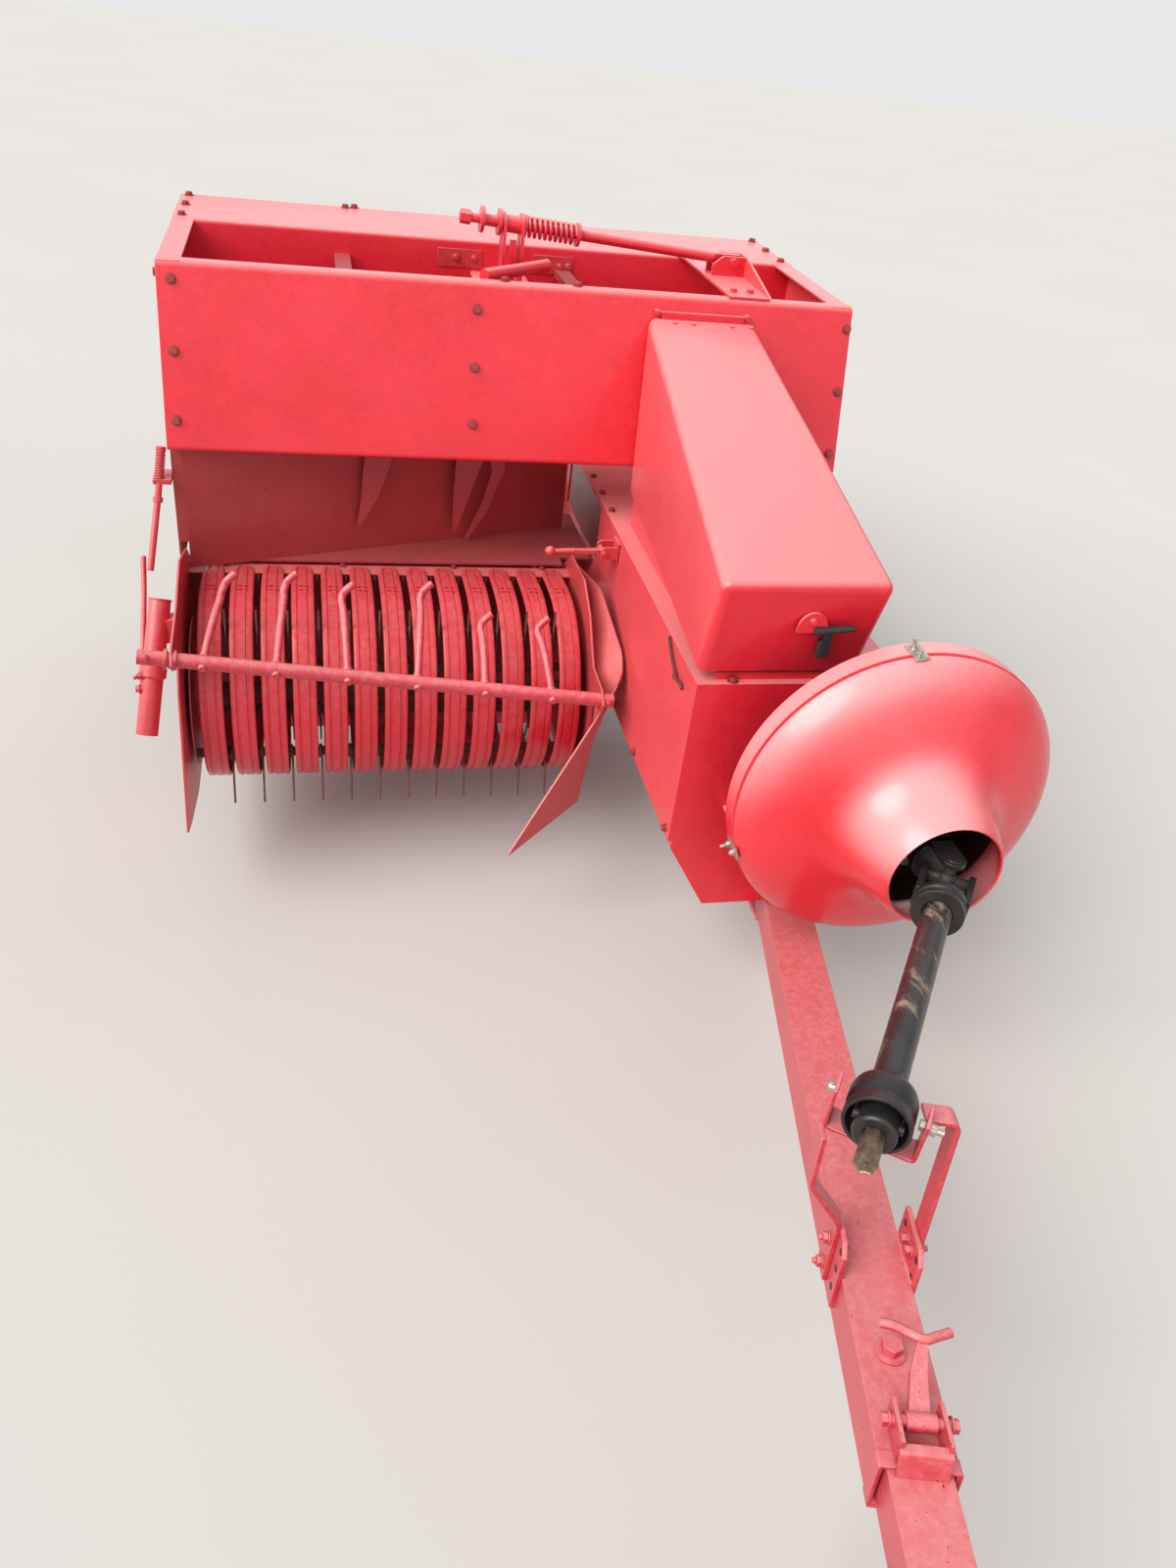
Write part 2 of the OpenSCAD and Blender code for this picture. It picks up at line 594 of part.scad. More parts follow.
// Rim of one wheel about X, middle at x; k points outward
module rim(x, k) {
    w = tyre_w / 2 - 6;
    profile = [[rim_r, -w], [rim_r, -w + 10], [rim_r - 14, -w + 14], [rim_r - 26, -w + 34], [rim_r - 26, w - 34],
               [rim_r - 14, w - 14], [rim_r, w - 10], [rim_r, w]];
    color("#c9c3b4") place() translate([x, axle_y, tyre_r]) rotate([0, 90, 0]) difference() {
        union() {
            rotate_extrude($fn = 64) polygon(fold(profile, 4));
            translate([0, 0, k * 10 - 4]) cylinder(h = 8, r = rim_r - 24);
            translate([0, 0, k > 0 ? 0 : -50]) cylinder(h = 50, r = 48);
        }
        cylinder(h = 200, r = 22.05, center = true);
        for (a = [0:60:300]) rotate([0, 0, a]) translate([110, 0, 0]) cylinder(h = 100, r = 16, center = true);
    }
}
module right_rim() rim(wheel_x0, -1);
module left_rim() rim(wheel_x1, 1);

// Tyre about X, middle at x
module tyre(x) {
    w = tyre_w / 2;
    profile = [[rim_r + 0.1, -w + 8], [rim_r + 6, -w + 3], [250, -w], [290, -w + 4], [314, -w + 18], [tyre_r, -w + 36],
               [tyre_r, w - 36], [314, w - 18], [290, w - 4], [250, w], [rim_r + 6, w - 3], [rim_r + 0.1, w - 8]];
    color(black) place() translate([x, axle_y, tyre_r]) rotate([0, 90, 0]) rotate_extrude($fn = 64) polygon(profile);
}
module right_tyre() tyre(wheel_x0);
module left_tyre() tyre(wheel_x1);

// Pick-up frame: side plates, lower beam, deck strip, ears of the wind guard and pivot pins
module pickup_frame() {
    plate = [[116, 596], [118, 640], [84, 646], [-60, 760], [-230, 806], [-380, 760], [-530, 742], [-562, 712],
             [-545, 690], [-440, 664], [-480, 600], [-530, 420], [-575, 262], [-500, 236], [-300, 186], [20, 186], [45, 330]];
    left_plate = [[116, 596], [118, 640], [84, 646], [-60, 760], [-230, 770], [-330, 720], [-425, 625], [-530, 622],
                  [-560, 596], [-545, 570], [-452, 545], [-470, 460], [-440, 300], [-300, 190], [20, 186], [45, 330]];
    color(paint) place() difference() {
        union() {
            along_x(-716, -711) polygon(plate);
            along_x(270, 275) polygon(left_plate);
            block([-716, -75, 699], [275, -25, 703]);
            block([-716, -20, 200], [275, 20, 240]);
            disc_x(-712, -688, lift_c, 10);
            disc_x(190, 271, lift_c, 10);
        }
        disc_x(-720, -705, reel_c, 20.05);
        disc_x(265, 280, reel_c, 20.05);
        rod(guard_a, guard_b, guard_r + 0.05, 48);
    }
}

// Stripper bands between the tines
module stripper_bands() {
    path = concat([[16, 240], [-24, 240], [-100, 218]], arc(band_c, band_r, 270, 90, 14),
                  [[-72, band_c[1] + band_r - 6], [-30, band_c[1] + band_r - 6]]);
    color(paint) place() for (i = [0:band_n - 1])
        along_x(band_x0 + i * band_pitch - band_w / 2, band_x0 + i * band_pitch + band_w / 2)
            polygon(fold(path, -3));
}

// Tine reel: shaft, discs, bars and tines
module tine_reel() {
    rows = [[40, 62], [130, 108], [220, 232], [310, 300]];
    color(bare) place() union() {
        disc_x(band_x0 - 72, band_x1 + 60, reel_c, 20);
        for (x = [band_x0 - 50, band_x1 + 29]) disc_x(x, x + 5, reel_c, bar_r + 22);
        for (r = rows) {
            c = reel_c + bar_r * [cos(r[0]), sin(r[0])];
            tip = reel_c + tine_r * [cos(r[1]), sin(r[1])];
            disc_x(band_x0 - 50, band_x1 + 34, c, 12);
            for (i = [0:band_n - 2]) {
                x = band_x0 + (i + 0.5) * band_pitch;
                rod([x, c[0], c[1]], [x, tip[0], tip[1]], 2.8, 16);
            }
        }
    }
}

// Crop divider: flared sheet at the left end of the pick-up
module crop_divider() {
    outer = [[283, -92, 748], [322, -220, 742], [348, -410, 655], [342, -460, 620], [318, -485, 590], [50, -655, 213]];
    aim = [[279, -100, 660], [279, -220, 640], [279, -380, 590], [279, -450, 520], [279, -470, 420], [262, -480, 250]];
    function flat(i, got) = i == len(outer) ? got :
        let (n = cross(outer[i] - outer[i - 1], got[i - 1] - outer[i - 1]), u = n / norm(n))
        flat(i + 1, concat(got, [aim[i] - u * ((aim[i] - outer[i - 1]) * u)]));
    inner = flat(1, [aim[0]]);
    n = len(outer);
    t = [-4, 3, 0];
    points = concat(outer, inner, [for (p = outer) p + t], [for (p = inner) p + t]);
    faces = concat([for (i = [0:n - 2]) [i + 1, i, n + i, n + i + 1]],
                   [for (i = [0:n - 2]) [2 * n + i, 2 * n + i + 1, 3 * n + i + 1, 3 * n + i]],
                   [for (i = [0:n - 2]) [i, i + 1, 2 * n + i + 1, 2 * n + i]],
                   [for (i = [0:n - 2]) [n + i + 1, n + i, 3 * n + i, 3 * n + i + 1]],
                   [[n, 0, 2 * n, 3 * n], [n - 1, 2 * n - 1, 4 * n - 1, 3 * n - 1]]);
    color(paint) place() union() {
        polyhedron(points, faces);
        block([275, -302, 612], [329, -298, 642]);
    }
}

// Wind guard: tube with six bent rods over the bands
module wind_guard() {
    rods = [[-650, [-607, -323, 790]], [-493, [-470, -319, 790]], [-334, [-341, -372, 790]],
            [-175, [-156, -363, 790]], [-14.5, [-13, -392, 725]], [149, [128, -393, 715]]];
    color(paint) place() union() {
        rod(guard_a, guard_b, guard_r);
        for (r = rods) {
            foot = guard_a + (guard_b - guard_a) * (r[0] - guard_a[0]) / (guard_b[0] - guard_a[0]);
            knee = (foot + r[1]) / 2 + [0, -10, 12];
            rod(foot, knee, 9);
            rod(knee, r[1], 9);
            rod(r[1], r[1] + [24, 12, 24], 9);
            for (bend = [knee, r[1]]) translate(bend) sphere(r = 9.6, $fn = 24);
        }
    }
}

// Socket tube of the gauge wheel, empty
module gauge_wheel_socket() {
    top = [-757, -290, 735];
    foot = [-800, -440, 455];
    d = (foot - top) / norm(foot - top);
    color(paint) place() difference() {
        union() {
            rod(top, foot, 25, 48);
            block([-760, -330, 640], [-716, -290, 700]);
        }
        rod(foot - 150 * d, foot + 2 * d, 20, 48);
    }
}

// Adjusting link beside the housing
module lift_link() {
    color(paint) place() union() {
        block([-770, -100, 940], [-728, -30, 952]);
        rod([-748, -62, 1015], [-762, -110, 900], 12);
        rod([-762, -108, 905], [-785, -190, 760], 8);
    }
}

// Trip lever with a ball end on the plunger housing's right wall
module trip_lever() {
    color(paint) place() union() {
        block([box_x0 - 50, -300, 800], [box_x0, -294, 835]);
        block([box_x0 - 50, -256, 800], [box_x0, -250, 835]);
        block([box_x0 - 6, -300, 790], [box_x0, -250, 845]);
        rod([box_x0 - 60, -275, 818], [box_x0 - 170, -275, 812], 8);
        rod([box_x0 - 40, -305, 818], [box_x0 - 40, -245, 818], 6);
        block([box_x0 - 70, -285, 812], [box_x0 - 30, -265, 824]);
        translate([box_x0 - 175, -275, 812]) sphere(r = 14, $fn = 24);
    }
}

// Needle yoke at rest under the chamber
module needle_yoke() {
    color(paint) place() union() {
        block([box_x0 - 24, 1290, 400], [box_x0 - 12, 1330, box_z0 + 60]);
        block([box_x1 + 12, 1290, 400], [box_x1 + 24, 1330, box_z0 + 60]);
        disc_x(box_x0 - 26, box_x0, [1310, box_z0 + 44], 20);
        disc_x(box_x1, box_x1 + 26, [1310, box_z0 + 44], 20);
        block([box_x0 - 24, 1290, 390], [box_x1 + 24, 1330, 420]);
        for (x = [box_x0 + 128, box_x1 - 124]) along_x(x, x + 14)
            polygon(concat(arc([1310, 560], 170, 270, 205, 6), arc([1310, 560], 150, 205, 270, 6)));
    }
}

// Metering wheel: star wheel turned by the bale
module metering_wheel() {
    n = 12;
    star = [for (i = [0:2 * n - 1]) (i % 2 == 0 ? meter_r : meter_r - 28) * [cos(i * 180 / n), sin(i * 180 / n)]];
    color(bare) place() difference() {
        union() {
            translate([597, meter_c[0], meter_c[1]]) rotate([90, 0, 90]) linear_extrude(6) polygon(star);
            disc_x(580, 620, meter_c, 24);
        }
        disc_x(570, 630, meter_c, 12.05);
    }
}

// Knotter frame: side plates, metering wheel's pin and knotter bodies
module knotter_frame() {
    color(paint) place() union() {
        for (x = [box_x0 + 20, box_x1 - 32]) difference() {
            along_x(x, x + 12) polygon([[1300, box_z1], [1560, box_z1], [1530, 1160], [1340, 1160]]);
            disc_x(x - 1, x + 13, knot_c, 18.05);
        }
        block([box_x0 + 20, 1515, 1135], [box_x1 - 20, 1530, 1160]);
        for (x = [480, 700]) {
            block([x - 40, 1480, box_z1], [x - 28, 1522, 1140]);
            block([x - 40, 1465, box_z1], [x + 60, 1505, 930]);
        }
        disc_x(556, 648, meter_c, 12);
        for (x = [556, 638]) block([x, meter_c[0] - 20, box_z1], [x + 10, meter_c[0] + 20, meter_c[1] + 20]);
    }
}

// Knotter shaft with its two cam discs
module knotter_shaft() {
    color(bare) place() union() {
        disc_x(box_x0 + 10, box_x1 - 10, knot_c, 18);
        for (x = [500, 720]) disc_x(x, x + 24, knot_c, 110);
        disc_x(box_x1 - 8, box_x1 + 22, knot_c, 120);
        disc_x(box_x1 - 12, box_x1 - 6, knot_c, 40);
    }
}

// Tension rails on top of the rear chamber with cross beams, screws and cranks
module tension_rails() {
    color(paint) place() union() {
        for (x = [box_x0 + 60, box_x1 - 100]) block([x, 1566, box_z1 - 12], [x + 40, box_y1, box_z1 + 20]);
        block([box_x0 - 60, 1800, box_z1 + 18], [box_x1 + 60, 1860, box_z1 + 60]);
        block([box_x0 - 60, 1800, box_z0 - 70], [box_x1 + 60, 1860, box_z0 - 12]);
        for (x = [box_x0 - 36, box_x1 + 36]) {
            rod([x, 1830, box_z0 - 80], [x, 1830, 1120], 11);
            rod([x, 1830, box_z1 + 60], [x, 1830, 1060], 26);
            rod([x, 1830, 1116], [x, 1940, 1116], 9);
            rod([x, 1932, 1110], [x, 1932, 1190], 11);
        }
        block([box_x0 + 10, 1560, box_z1 - 2], [box_x1 - 10, 1580, box_z1 + 22]);
    }
}

// Bale chute hinged under the chamber's rear end
module bale_chute() {
    y0 = box_y1 + 8;
    color(paint) place() union() {
        block([box_x0 + 10, y0 + 20, 486], [box_x1 - 10, y0 + chute_len, 490]);
        for (x = [box_x0 + 10, box_x1 - 14]) along_x(x, x + 4)
            polygon([[y0 + 60, 486], [y0 + 60, 586], [y0 + chute_len, 530], [y0 + chute_len, 486]]);
        disc_x(box_x0 - 6, box_x1 + 6, [y0 + 14, 486], 12);
    }
}

// Twine box behind the housing
module twine_box() {
    color(paint) place() union() {
        difference() {
            block(twine_at, twine_at + twine_size);
            block(twine_at + [sheet_t, sheet_t, sheet_t], twine_at + twine_size + [-sheet_t, -sheet_t, 1]);
        }
        block([twine_at[0] + twine_size[0] - 1, 960, 735], [box_x0, 1000, 775]);
        for (x = [twine_at[0] + 140, twine_at[0] + twine_size[0] - 220]) {
            disc_x(x, x + 80, lid_hinge, 6);
            block([x, lid_hinge[0] - 9, lid_hinge[1] - 22], [x + 80, lid_hinge[0], lid_hinge[1] - 4]);
        }
    }
}

// Lid of the twine box
module twine_lid() {
    top = twine_at[2] + twine_size[2];
    color(paint) place() union() {
        block([twine_at[0] - 8, twine_at[1] - 8, top + 0.3], [twine_at[0] + twine_size[0] + 8, lid_hinge[0] - 8, top + 5]);
        block([twine_at[0] - 8, twine_at[1] - 8, top - 24], [twine_at[0] + twine_size[0] + 8, twine_at[1] - 5, top + 5]);
        for (x = [twine_at[0] + 60, twine_at[0] + twine_size[0] - 139.5]) {
            disc_x(x, x + 79.5, lid_hinge, 6);
            block([x, lid_hinge[0] - 9, top + 0.3], [x + 79.5, lid_hinge[0], top + 5]);
        }
    }
}

feeder_housing();
feeder_fork();
feed_table();
packer_linkage();
plunger_housing();
plunger();
bale_chamber();
front_frame();
main_frame();
drive_cover();
flywheel_cowl();
flywheel();
input_yoke();
joint_cross();
drive_shaft();
drawbar();
hitch_tongue();
shaft_cradle();
drawbar_latch();
parking_stand();
axle();
right_rim();
right_tyre();
left_rim();
left_tyre();
pickup_frame();
stripper_bands();
tine_reel();
crop_divider();
wind_guard();
gauge_wheel_socket();
lift_link();
trip_lever();
needle_yoke();
metering_wheel();
knotter_frame();
knotter_shaft();
tension_rails();
bale_chute();
twine_box();
twine_lid();
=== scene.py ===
import math
from itertools import product

import bmesh
import bpy
from bmesh.types import BMEdge, BMFace, BMVert
from bpy.props import FloatProperty, IntProperty, PointerProperty
from bpy.types import Operator, Panel, PropertyGroup
from mathutils import Matrix, Vector


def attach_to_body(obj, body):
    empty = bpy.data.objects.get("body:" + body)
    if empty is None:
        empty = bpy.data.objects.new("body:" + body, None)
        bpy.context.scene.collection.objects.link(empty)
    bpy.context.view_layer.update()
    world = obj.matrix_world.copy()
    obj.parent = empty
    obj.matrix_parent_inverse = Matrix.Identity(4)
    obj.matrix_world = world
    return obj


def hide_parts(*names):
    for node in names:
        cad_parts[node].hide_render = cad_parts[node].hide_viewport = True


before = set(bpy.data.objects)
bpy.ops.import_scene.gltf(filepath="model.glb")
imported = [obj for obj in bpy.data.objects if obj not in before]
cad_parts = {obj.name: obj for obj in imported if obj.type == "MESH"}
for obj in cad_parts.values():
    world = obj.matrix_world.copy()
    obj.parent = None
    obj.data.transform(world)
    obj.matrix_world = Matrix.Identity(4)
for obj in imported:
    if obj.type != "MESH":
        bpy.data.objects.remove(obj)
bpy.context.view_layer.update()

bl_info = {
    "name": "Square baler dressing",
    "version": (1, 0, 0),
    "blender": (4, 5, 0),
    "location": "View3D > Sidebar > Baler",
    "description": "Dresses the packed frame of a towed square baler with sheet metal, fittings and finishes",
    "category": "Object",
}

# Pieces are drawn in millimetres in the maker's frame: X to the machine's left, Y to the rear, Z up,
# Y = 0 at the top edge of the housing's front plate. MACHINE brings them to the row frame in metres.
MACHINE = Matrix.Scale(0.001, 4) @ Matrix.Translation((-157.6, 125.3, 0))
LEFT, RIGHT, REAR, FRONT, UP = (1, 0, 0), (-1, 0, 0), (0, 1, 0), (0, -1, 0), (0, 0, 1)

# Places that several pieces share; where there are two, the machine's right side comes first
HOUSING_ENDS = (-730.0, 945.0)
HOUSING_TOP = 1420
BOX_SIDES = (356, 828)
BAND_PITCH, FIRST_BAND = 72.6, -650
REEL_Y, REEL_Z = -230, 450
COWL = (785, -1035, 680)
JOINT_X, JOINT_Y, JOINT_Z = 785, -1345, 680
STAND_X, STAND_Y, STAND_Z = 210, -2447, 470
WHEEL_PLACES, WHEEL_Y, WHEEL_Z = (("right", -700, -1), ("left", 940, 1)), 950, 325
SWING_PIN = (726, -800, 240)
SCREW_PLACES, SCREW_Y = (320, 864), 1830
KNOTTER_PLACES, KNOTTER_Y, KNOTTER_Z = (500, 720), 1430, 1045

# The drawbar's and the jointed shaft's own frames: Y runs back along each of them
SHAFT_YAW, SHAFT_RISE = math.radians(35.3), math.radians(4.3)
ON_DRAWBAR = (MACHINE @ Matrix.Translation(SWING_PIN)
              @ Matrix.Rotation(math.radians(-14.4), 4, "Z") @ Matrix.Rotation(math.radians(-9.5), 4, "X"))
ON_SHAFT = (MACHINE @ Matrix.Translation((JOINT_X, JOINT_Y, JOINT_Z))
            @ Matrix.Rotation(-SHAFT_YAW, 4, "Z") @ Matrix.Rotation(-SHAFT_RISE, 4, "X"))

# Where the photograph was taken, in metres in the row frame, and how the camera was turned, in radians
CAMERA_AT = (-0.5642, -2.7681, 2.0631)
CAMERA_YAW, CAMERA_PITCH, CAMERA_ROLL = -0.2783, 0.6112, 0.1351


# Nodes and finishes

def linear(text):
    """The linear colour of an sRGB hex value such as #c8242e."""
    parts = [int(text[i:i + 2], 16) / 255 for i in (1, 3, 5)]
    return [c / 12.92 if c <= 0.04045 else ((c + 0.055) / 1.055) ** 2.4 for c in parts] + [1.0]


def add_node(tree, kind, inputs, out=0, **settings):
    """Adds one node with its settings and links, and gives one of its outputs: an input that gets a socket
    is linked, any other takes the value."""
    node = tree.nodes.new("ShaderNode" + kind)
    for key, value in settings.items():
        setattr(node, key, value)
    for key, value in inputs.items():
        if isinstance(value, bpy.types.NodeSocket):
            tree.links.new(value, node.inputs[key])
        else:
            node.inputs[key].default_value = value
    return node.outputs[out] if node.outputs else None


def set_stops(colour, stops):
    """Sets the stops of the colour ramp that gives this colour, from (position, grey or colour) pairs."""
    elements = colour.node.color_ramp.elements
    while len(elements) < len(stops):
        elements.new(0.5)
    for element, (position, tone) in zip(elements, stops):
        element.position = position
        element.color = [tone, tone, tone, 1.0] if isinstance(tone, float) else tone
    return colour


def new_material(name):
    """An empty node material, its tree and the socket of each point's place on the object."""
    material = bpy.data.materials.new(name)
    material.use_nodes = True
    tree = material.node_tree
    tree.nodes.clear()
    return material, tree, add_node(tree, "TexCoord", {}, "Object")


# The sixth argument sets the strength of a painted sheen, a pale pink painted highlight on what faces the sky
# and the machine's right side
def sprayed_enamel(name, paint, faded, dust_amount, chip_start, painted_sheen, gloss=0.30, rust="#5a3226",
                   dust="#b79a86"):
    """Oil enamel sprayed on folded steel sheet, out in the sun and rain: glossy, faded in broad patches,
    dusty on what looks up, with chips down to brown rust and shallow dents in the sheet, and a painted sheen."""
    material, tree, where = new_material(name)
    # Fading in patches of about 350 mm, and streaks of about 60 mm
    patches = add_node(tree, "TexNoise", {"Vector": where, "Scale": 2.8, "Detail": 3.0})
    fade = set_stops(add_node(tree, "ValToRGB", {"Fac": patches}), [(0.38, 0.0), (0.68, 1.0)])
    colour = add_node(tree, "Mix", {0: fade, 6: linear(paint), 7: linear(faded)}, 2, data_type="RGBA")
    streaks = add_node(tree, "TexNoise", {"Vector": where, "Scale": 17.0, "Detail": 5.0, "Roughness": 0.6})
    tint = set_stops(add_node(tree, "ValToRGB", {"Fac": streaks}), [(0.25, 0.90), (0.72, 1.03)])
    colour = add_node(tree, "Mix", {0: 1.0, 6: colour, 7: tint}, 2, data_type="RGBA", blend_type="MULTIPLY")
    # Painted sheen: what faces the sky, and less so what faces the machine's right side, is lightened towards
    # pale pink as a painted highlight
    normal = add_node(tree, "NewGeometry", {}, "Normal")
    sheen_facing = add_node(tree, "VectorMath", {0: normal, 1: (-0.48, 0.0, 0.88)}, "Value", operation="DOT_PRODUCT")
    sheen_mask = add_node(tree, "MapRange", {"Value": sheen_facing, "From Min": 0.24, "From Max": 0.90,
                                           "To Max": painted_sheen}, interpolation_type="SMOOTHSTEP")
    colour = add_node(tree, "Mix", {0: sheen_mask, 6: colour, 7: linear("#f5a3a5")}, 2, data_type="RGBA")
    # Dust settles on what looks up, in grains a few millimetres across
    up = add_node(tree, "SeparateXYZ", {"Vector": normal}, "Z")
    up = add_node(tree, "MapRange", {"Value": up, "From Min": -0.2, "To Min": 0.15})
    grains = add_node(tree, "TexNoise", {"Vector": where, "Scale": 70.0, "Detail": 9.0, "Roughness": 0.72})
    film = add_node(tree, "MapRange", {"Value": grains, "From Min": 0.42, "From Max": 0.75,
                                       "To Max": dust_amount})
    film = add_node(tree, "Math", {0: film, 1: up}, operation="MULTIPLY", use_clamp=True)
    colour = add_node(tree, "Mix", {0: film, 6: colour, 7: linear(dust)}, 2, data_type="RGBA")
    # Chips 3 to 15 mm across, gathered where the streaks are strong
    flakes = add_node(tree, "TexNoise", {"Vector": where, "Scale": 150.0, "Detail": 4.0, "Roughness": 0.55})
    gather = add_node(tree, "Math", {0: streaks, 1: 0.22, 2: flakes}, operation="MULTIPLY_ADD")
    chips = add_node(tree, "MapRange", {"Value": gather, "From Min": chip_start + 0.10,
                                        "From Max": chip_start + 0.13})
    colour = add_node(tree, "Mix", {0: chips, 6: colour, 7: linear(rust)}, 2, data_type="RGBA")
    rough = add_node(tree, "MapRange", {"Value": grains, "From Min": 0.3, "From Max": 0.7, "To Min": gloss,
                                        "To Max": gloss + 0.16})
    rough = add_node(tree, "Math", {0: film, 1: 0.5, 2: rough}, operation="MULTIPLY_ADD", use_clamp=True)
    rough = add_node(tree, "Math", {0: chips, 1: 0.45, 2: rough}, operation="MULTIPLY_ADD", use_clamp=True)
    # Shallow dents about 160 mm across and orange peel of 2 mm
    dents = add_node(tree, "TexNoise", {"Vector": where, "Scale": 6.0, "Detail": 1.0})
    dents = add_node(tree, "Bump", {"Height": dents, "Strength": 0.35, "Distance": 0.006})
    peel = add_node(tree, "TexNoise", {"Vector": where, "Scale": 420.0, "Detail": 2.0})
    peel = add_node(tree, "Math", {0: chips, 1: -3.0, 2: peel}, operation="MULTIPLY_ADD")
    peel = add_node(tree, "Bump", {"Height": peel, "Strength": 0.25, "Distance": 0.0004, "Normal": dents})
    surface = add_node(tree, "BsdfPrincipled", {
        "IOR": 1.5, "Coat Weight": 0.22, "Coat Roughness": 0.14, "Base Color": colour, "Roughness": rough,
        "Normal": peel})
    add_node(tree, "OutputMaterial", {"Surface": surface})
    return material


def worn_metal(name, bright, dull, stain, metallic=0.9, rough=0.38, stain_from=0.52, scale=30.0,
               grain=(1, 1, 1), lump=0.0006):
    """Bare metal that work has polished or weather has stained: a clean tone, a dull tone and rust between,
    each in spots of a few centimetres, with fine pits."""
    material, tree, where = new_material(name)
    where = add_node(tree, "Mapping", {"Vector": where, "Scale": grain})
    spots = add_node(tree, "TexNoise", {"Vector": where, "Scale": scale, "Detail": 8.0, "Roughness": 0.65})
    tone = set_stops(add_node(tree, "ValToRGB", {"Fac": spots}),
                     [(0.35, linear(bright)), (0.62, linear(dull))])
    blots = add_node(tree, "TexNoise", {"Vector": where, "Scale": scale * 0.45, "Detail": 10.0,
                                        "Roughness": 0.7, "Distortion": 0.4})
    rusty = add_node(tree, "MapRange", {"Value": blots, "From Min": stain_from,
                                        "From Max": stain_from + 0.12})
    colour = add_node(tree, "Mix", {0: rusty, 6: tone, 7: linear(stain)}, 2, data_type="RGBA")
    shine = add_node(tree, "MapRange", {"Value": rusty, "To Min": metallic, "To Max": metallic * 0.25})
    matt = add_node(tree, "MapRange", {"Value": rusty, "To Min": rough, "To Max": min(rough + 0.4, 0.9)})
    pits = add_node(tree, "TexNoise", {"Vector": where, "Scale": scale * 14, "Detail": 3.0})
    pits = add_node(tree, "Bump", {"Height": pits, "Strength": 0.4, "Distance": lump})
    surface = add_node(tree, "BsdfPrincipled", {"Base Color": colour, "Roughness": matt, "Metallic": shine,
                                                "Normal": pits})
    add_node(tree, "OutputMaterial", {"Surface": surface})
    return material


def tyre_rubber(name):
    """Moulded tyre rubber: near black and matt, greyed by sun, with pale dust in its low places."""
    material, tree, where = new_material(name)
    dust = add_node(tree, "TexNoise", {"Vector": where, "Scale": 14.0, "Detail": 9.0, "Roughness": 0.7})
    tone = set_stops(add_node(tree, "ValToRGB", {"Fac": dust}),
                     [(0.36, linear("#1e1d1c")), (0.55, linear("#37342f")), (0.78, linear("#7b7265"))])
    grain = add_node(tree, "TexNoise", {"Vector": where, "Scale": 500.0, "Detail": 3.0})
    grain = add_node(tree, "Bump", {"Height": grain, "Strength": 0.4, "Distance": 0.0005})
    surface = add_node(tree, "BsdfPrincipled", {"Roughness": 0.82, "IOR": 1.52, "Base Color": tone,
                                                "Normal": grain})
    add_node(tree, "OutputMaterial", {"Surface": surface})
    return material


def pale_floor(name):
    """Painted studio floor: pale, matt and even, so that only the machine's shadow shows on it."""
    material, tree, where = new_material(name)
    haze = add_node(tree, "TexNoise", {"Vector": where, "Scale": 0.6, "Detail": 2.0})
    tone = set_stops(add_node(tree, "ValToRGB", {"Fac": haze}),
                     [(0.3, linear("#c0bfbc")), (0.7, linear("#c3c2bf"))])
    surface = add_node(tree, "BsdfPrincipled", {"Roughness": 0.9, "Base Color": tone})
    add_node(tree, "OutputMaterial", {"Surface": surface})
    return material


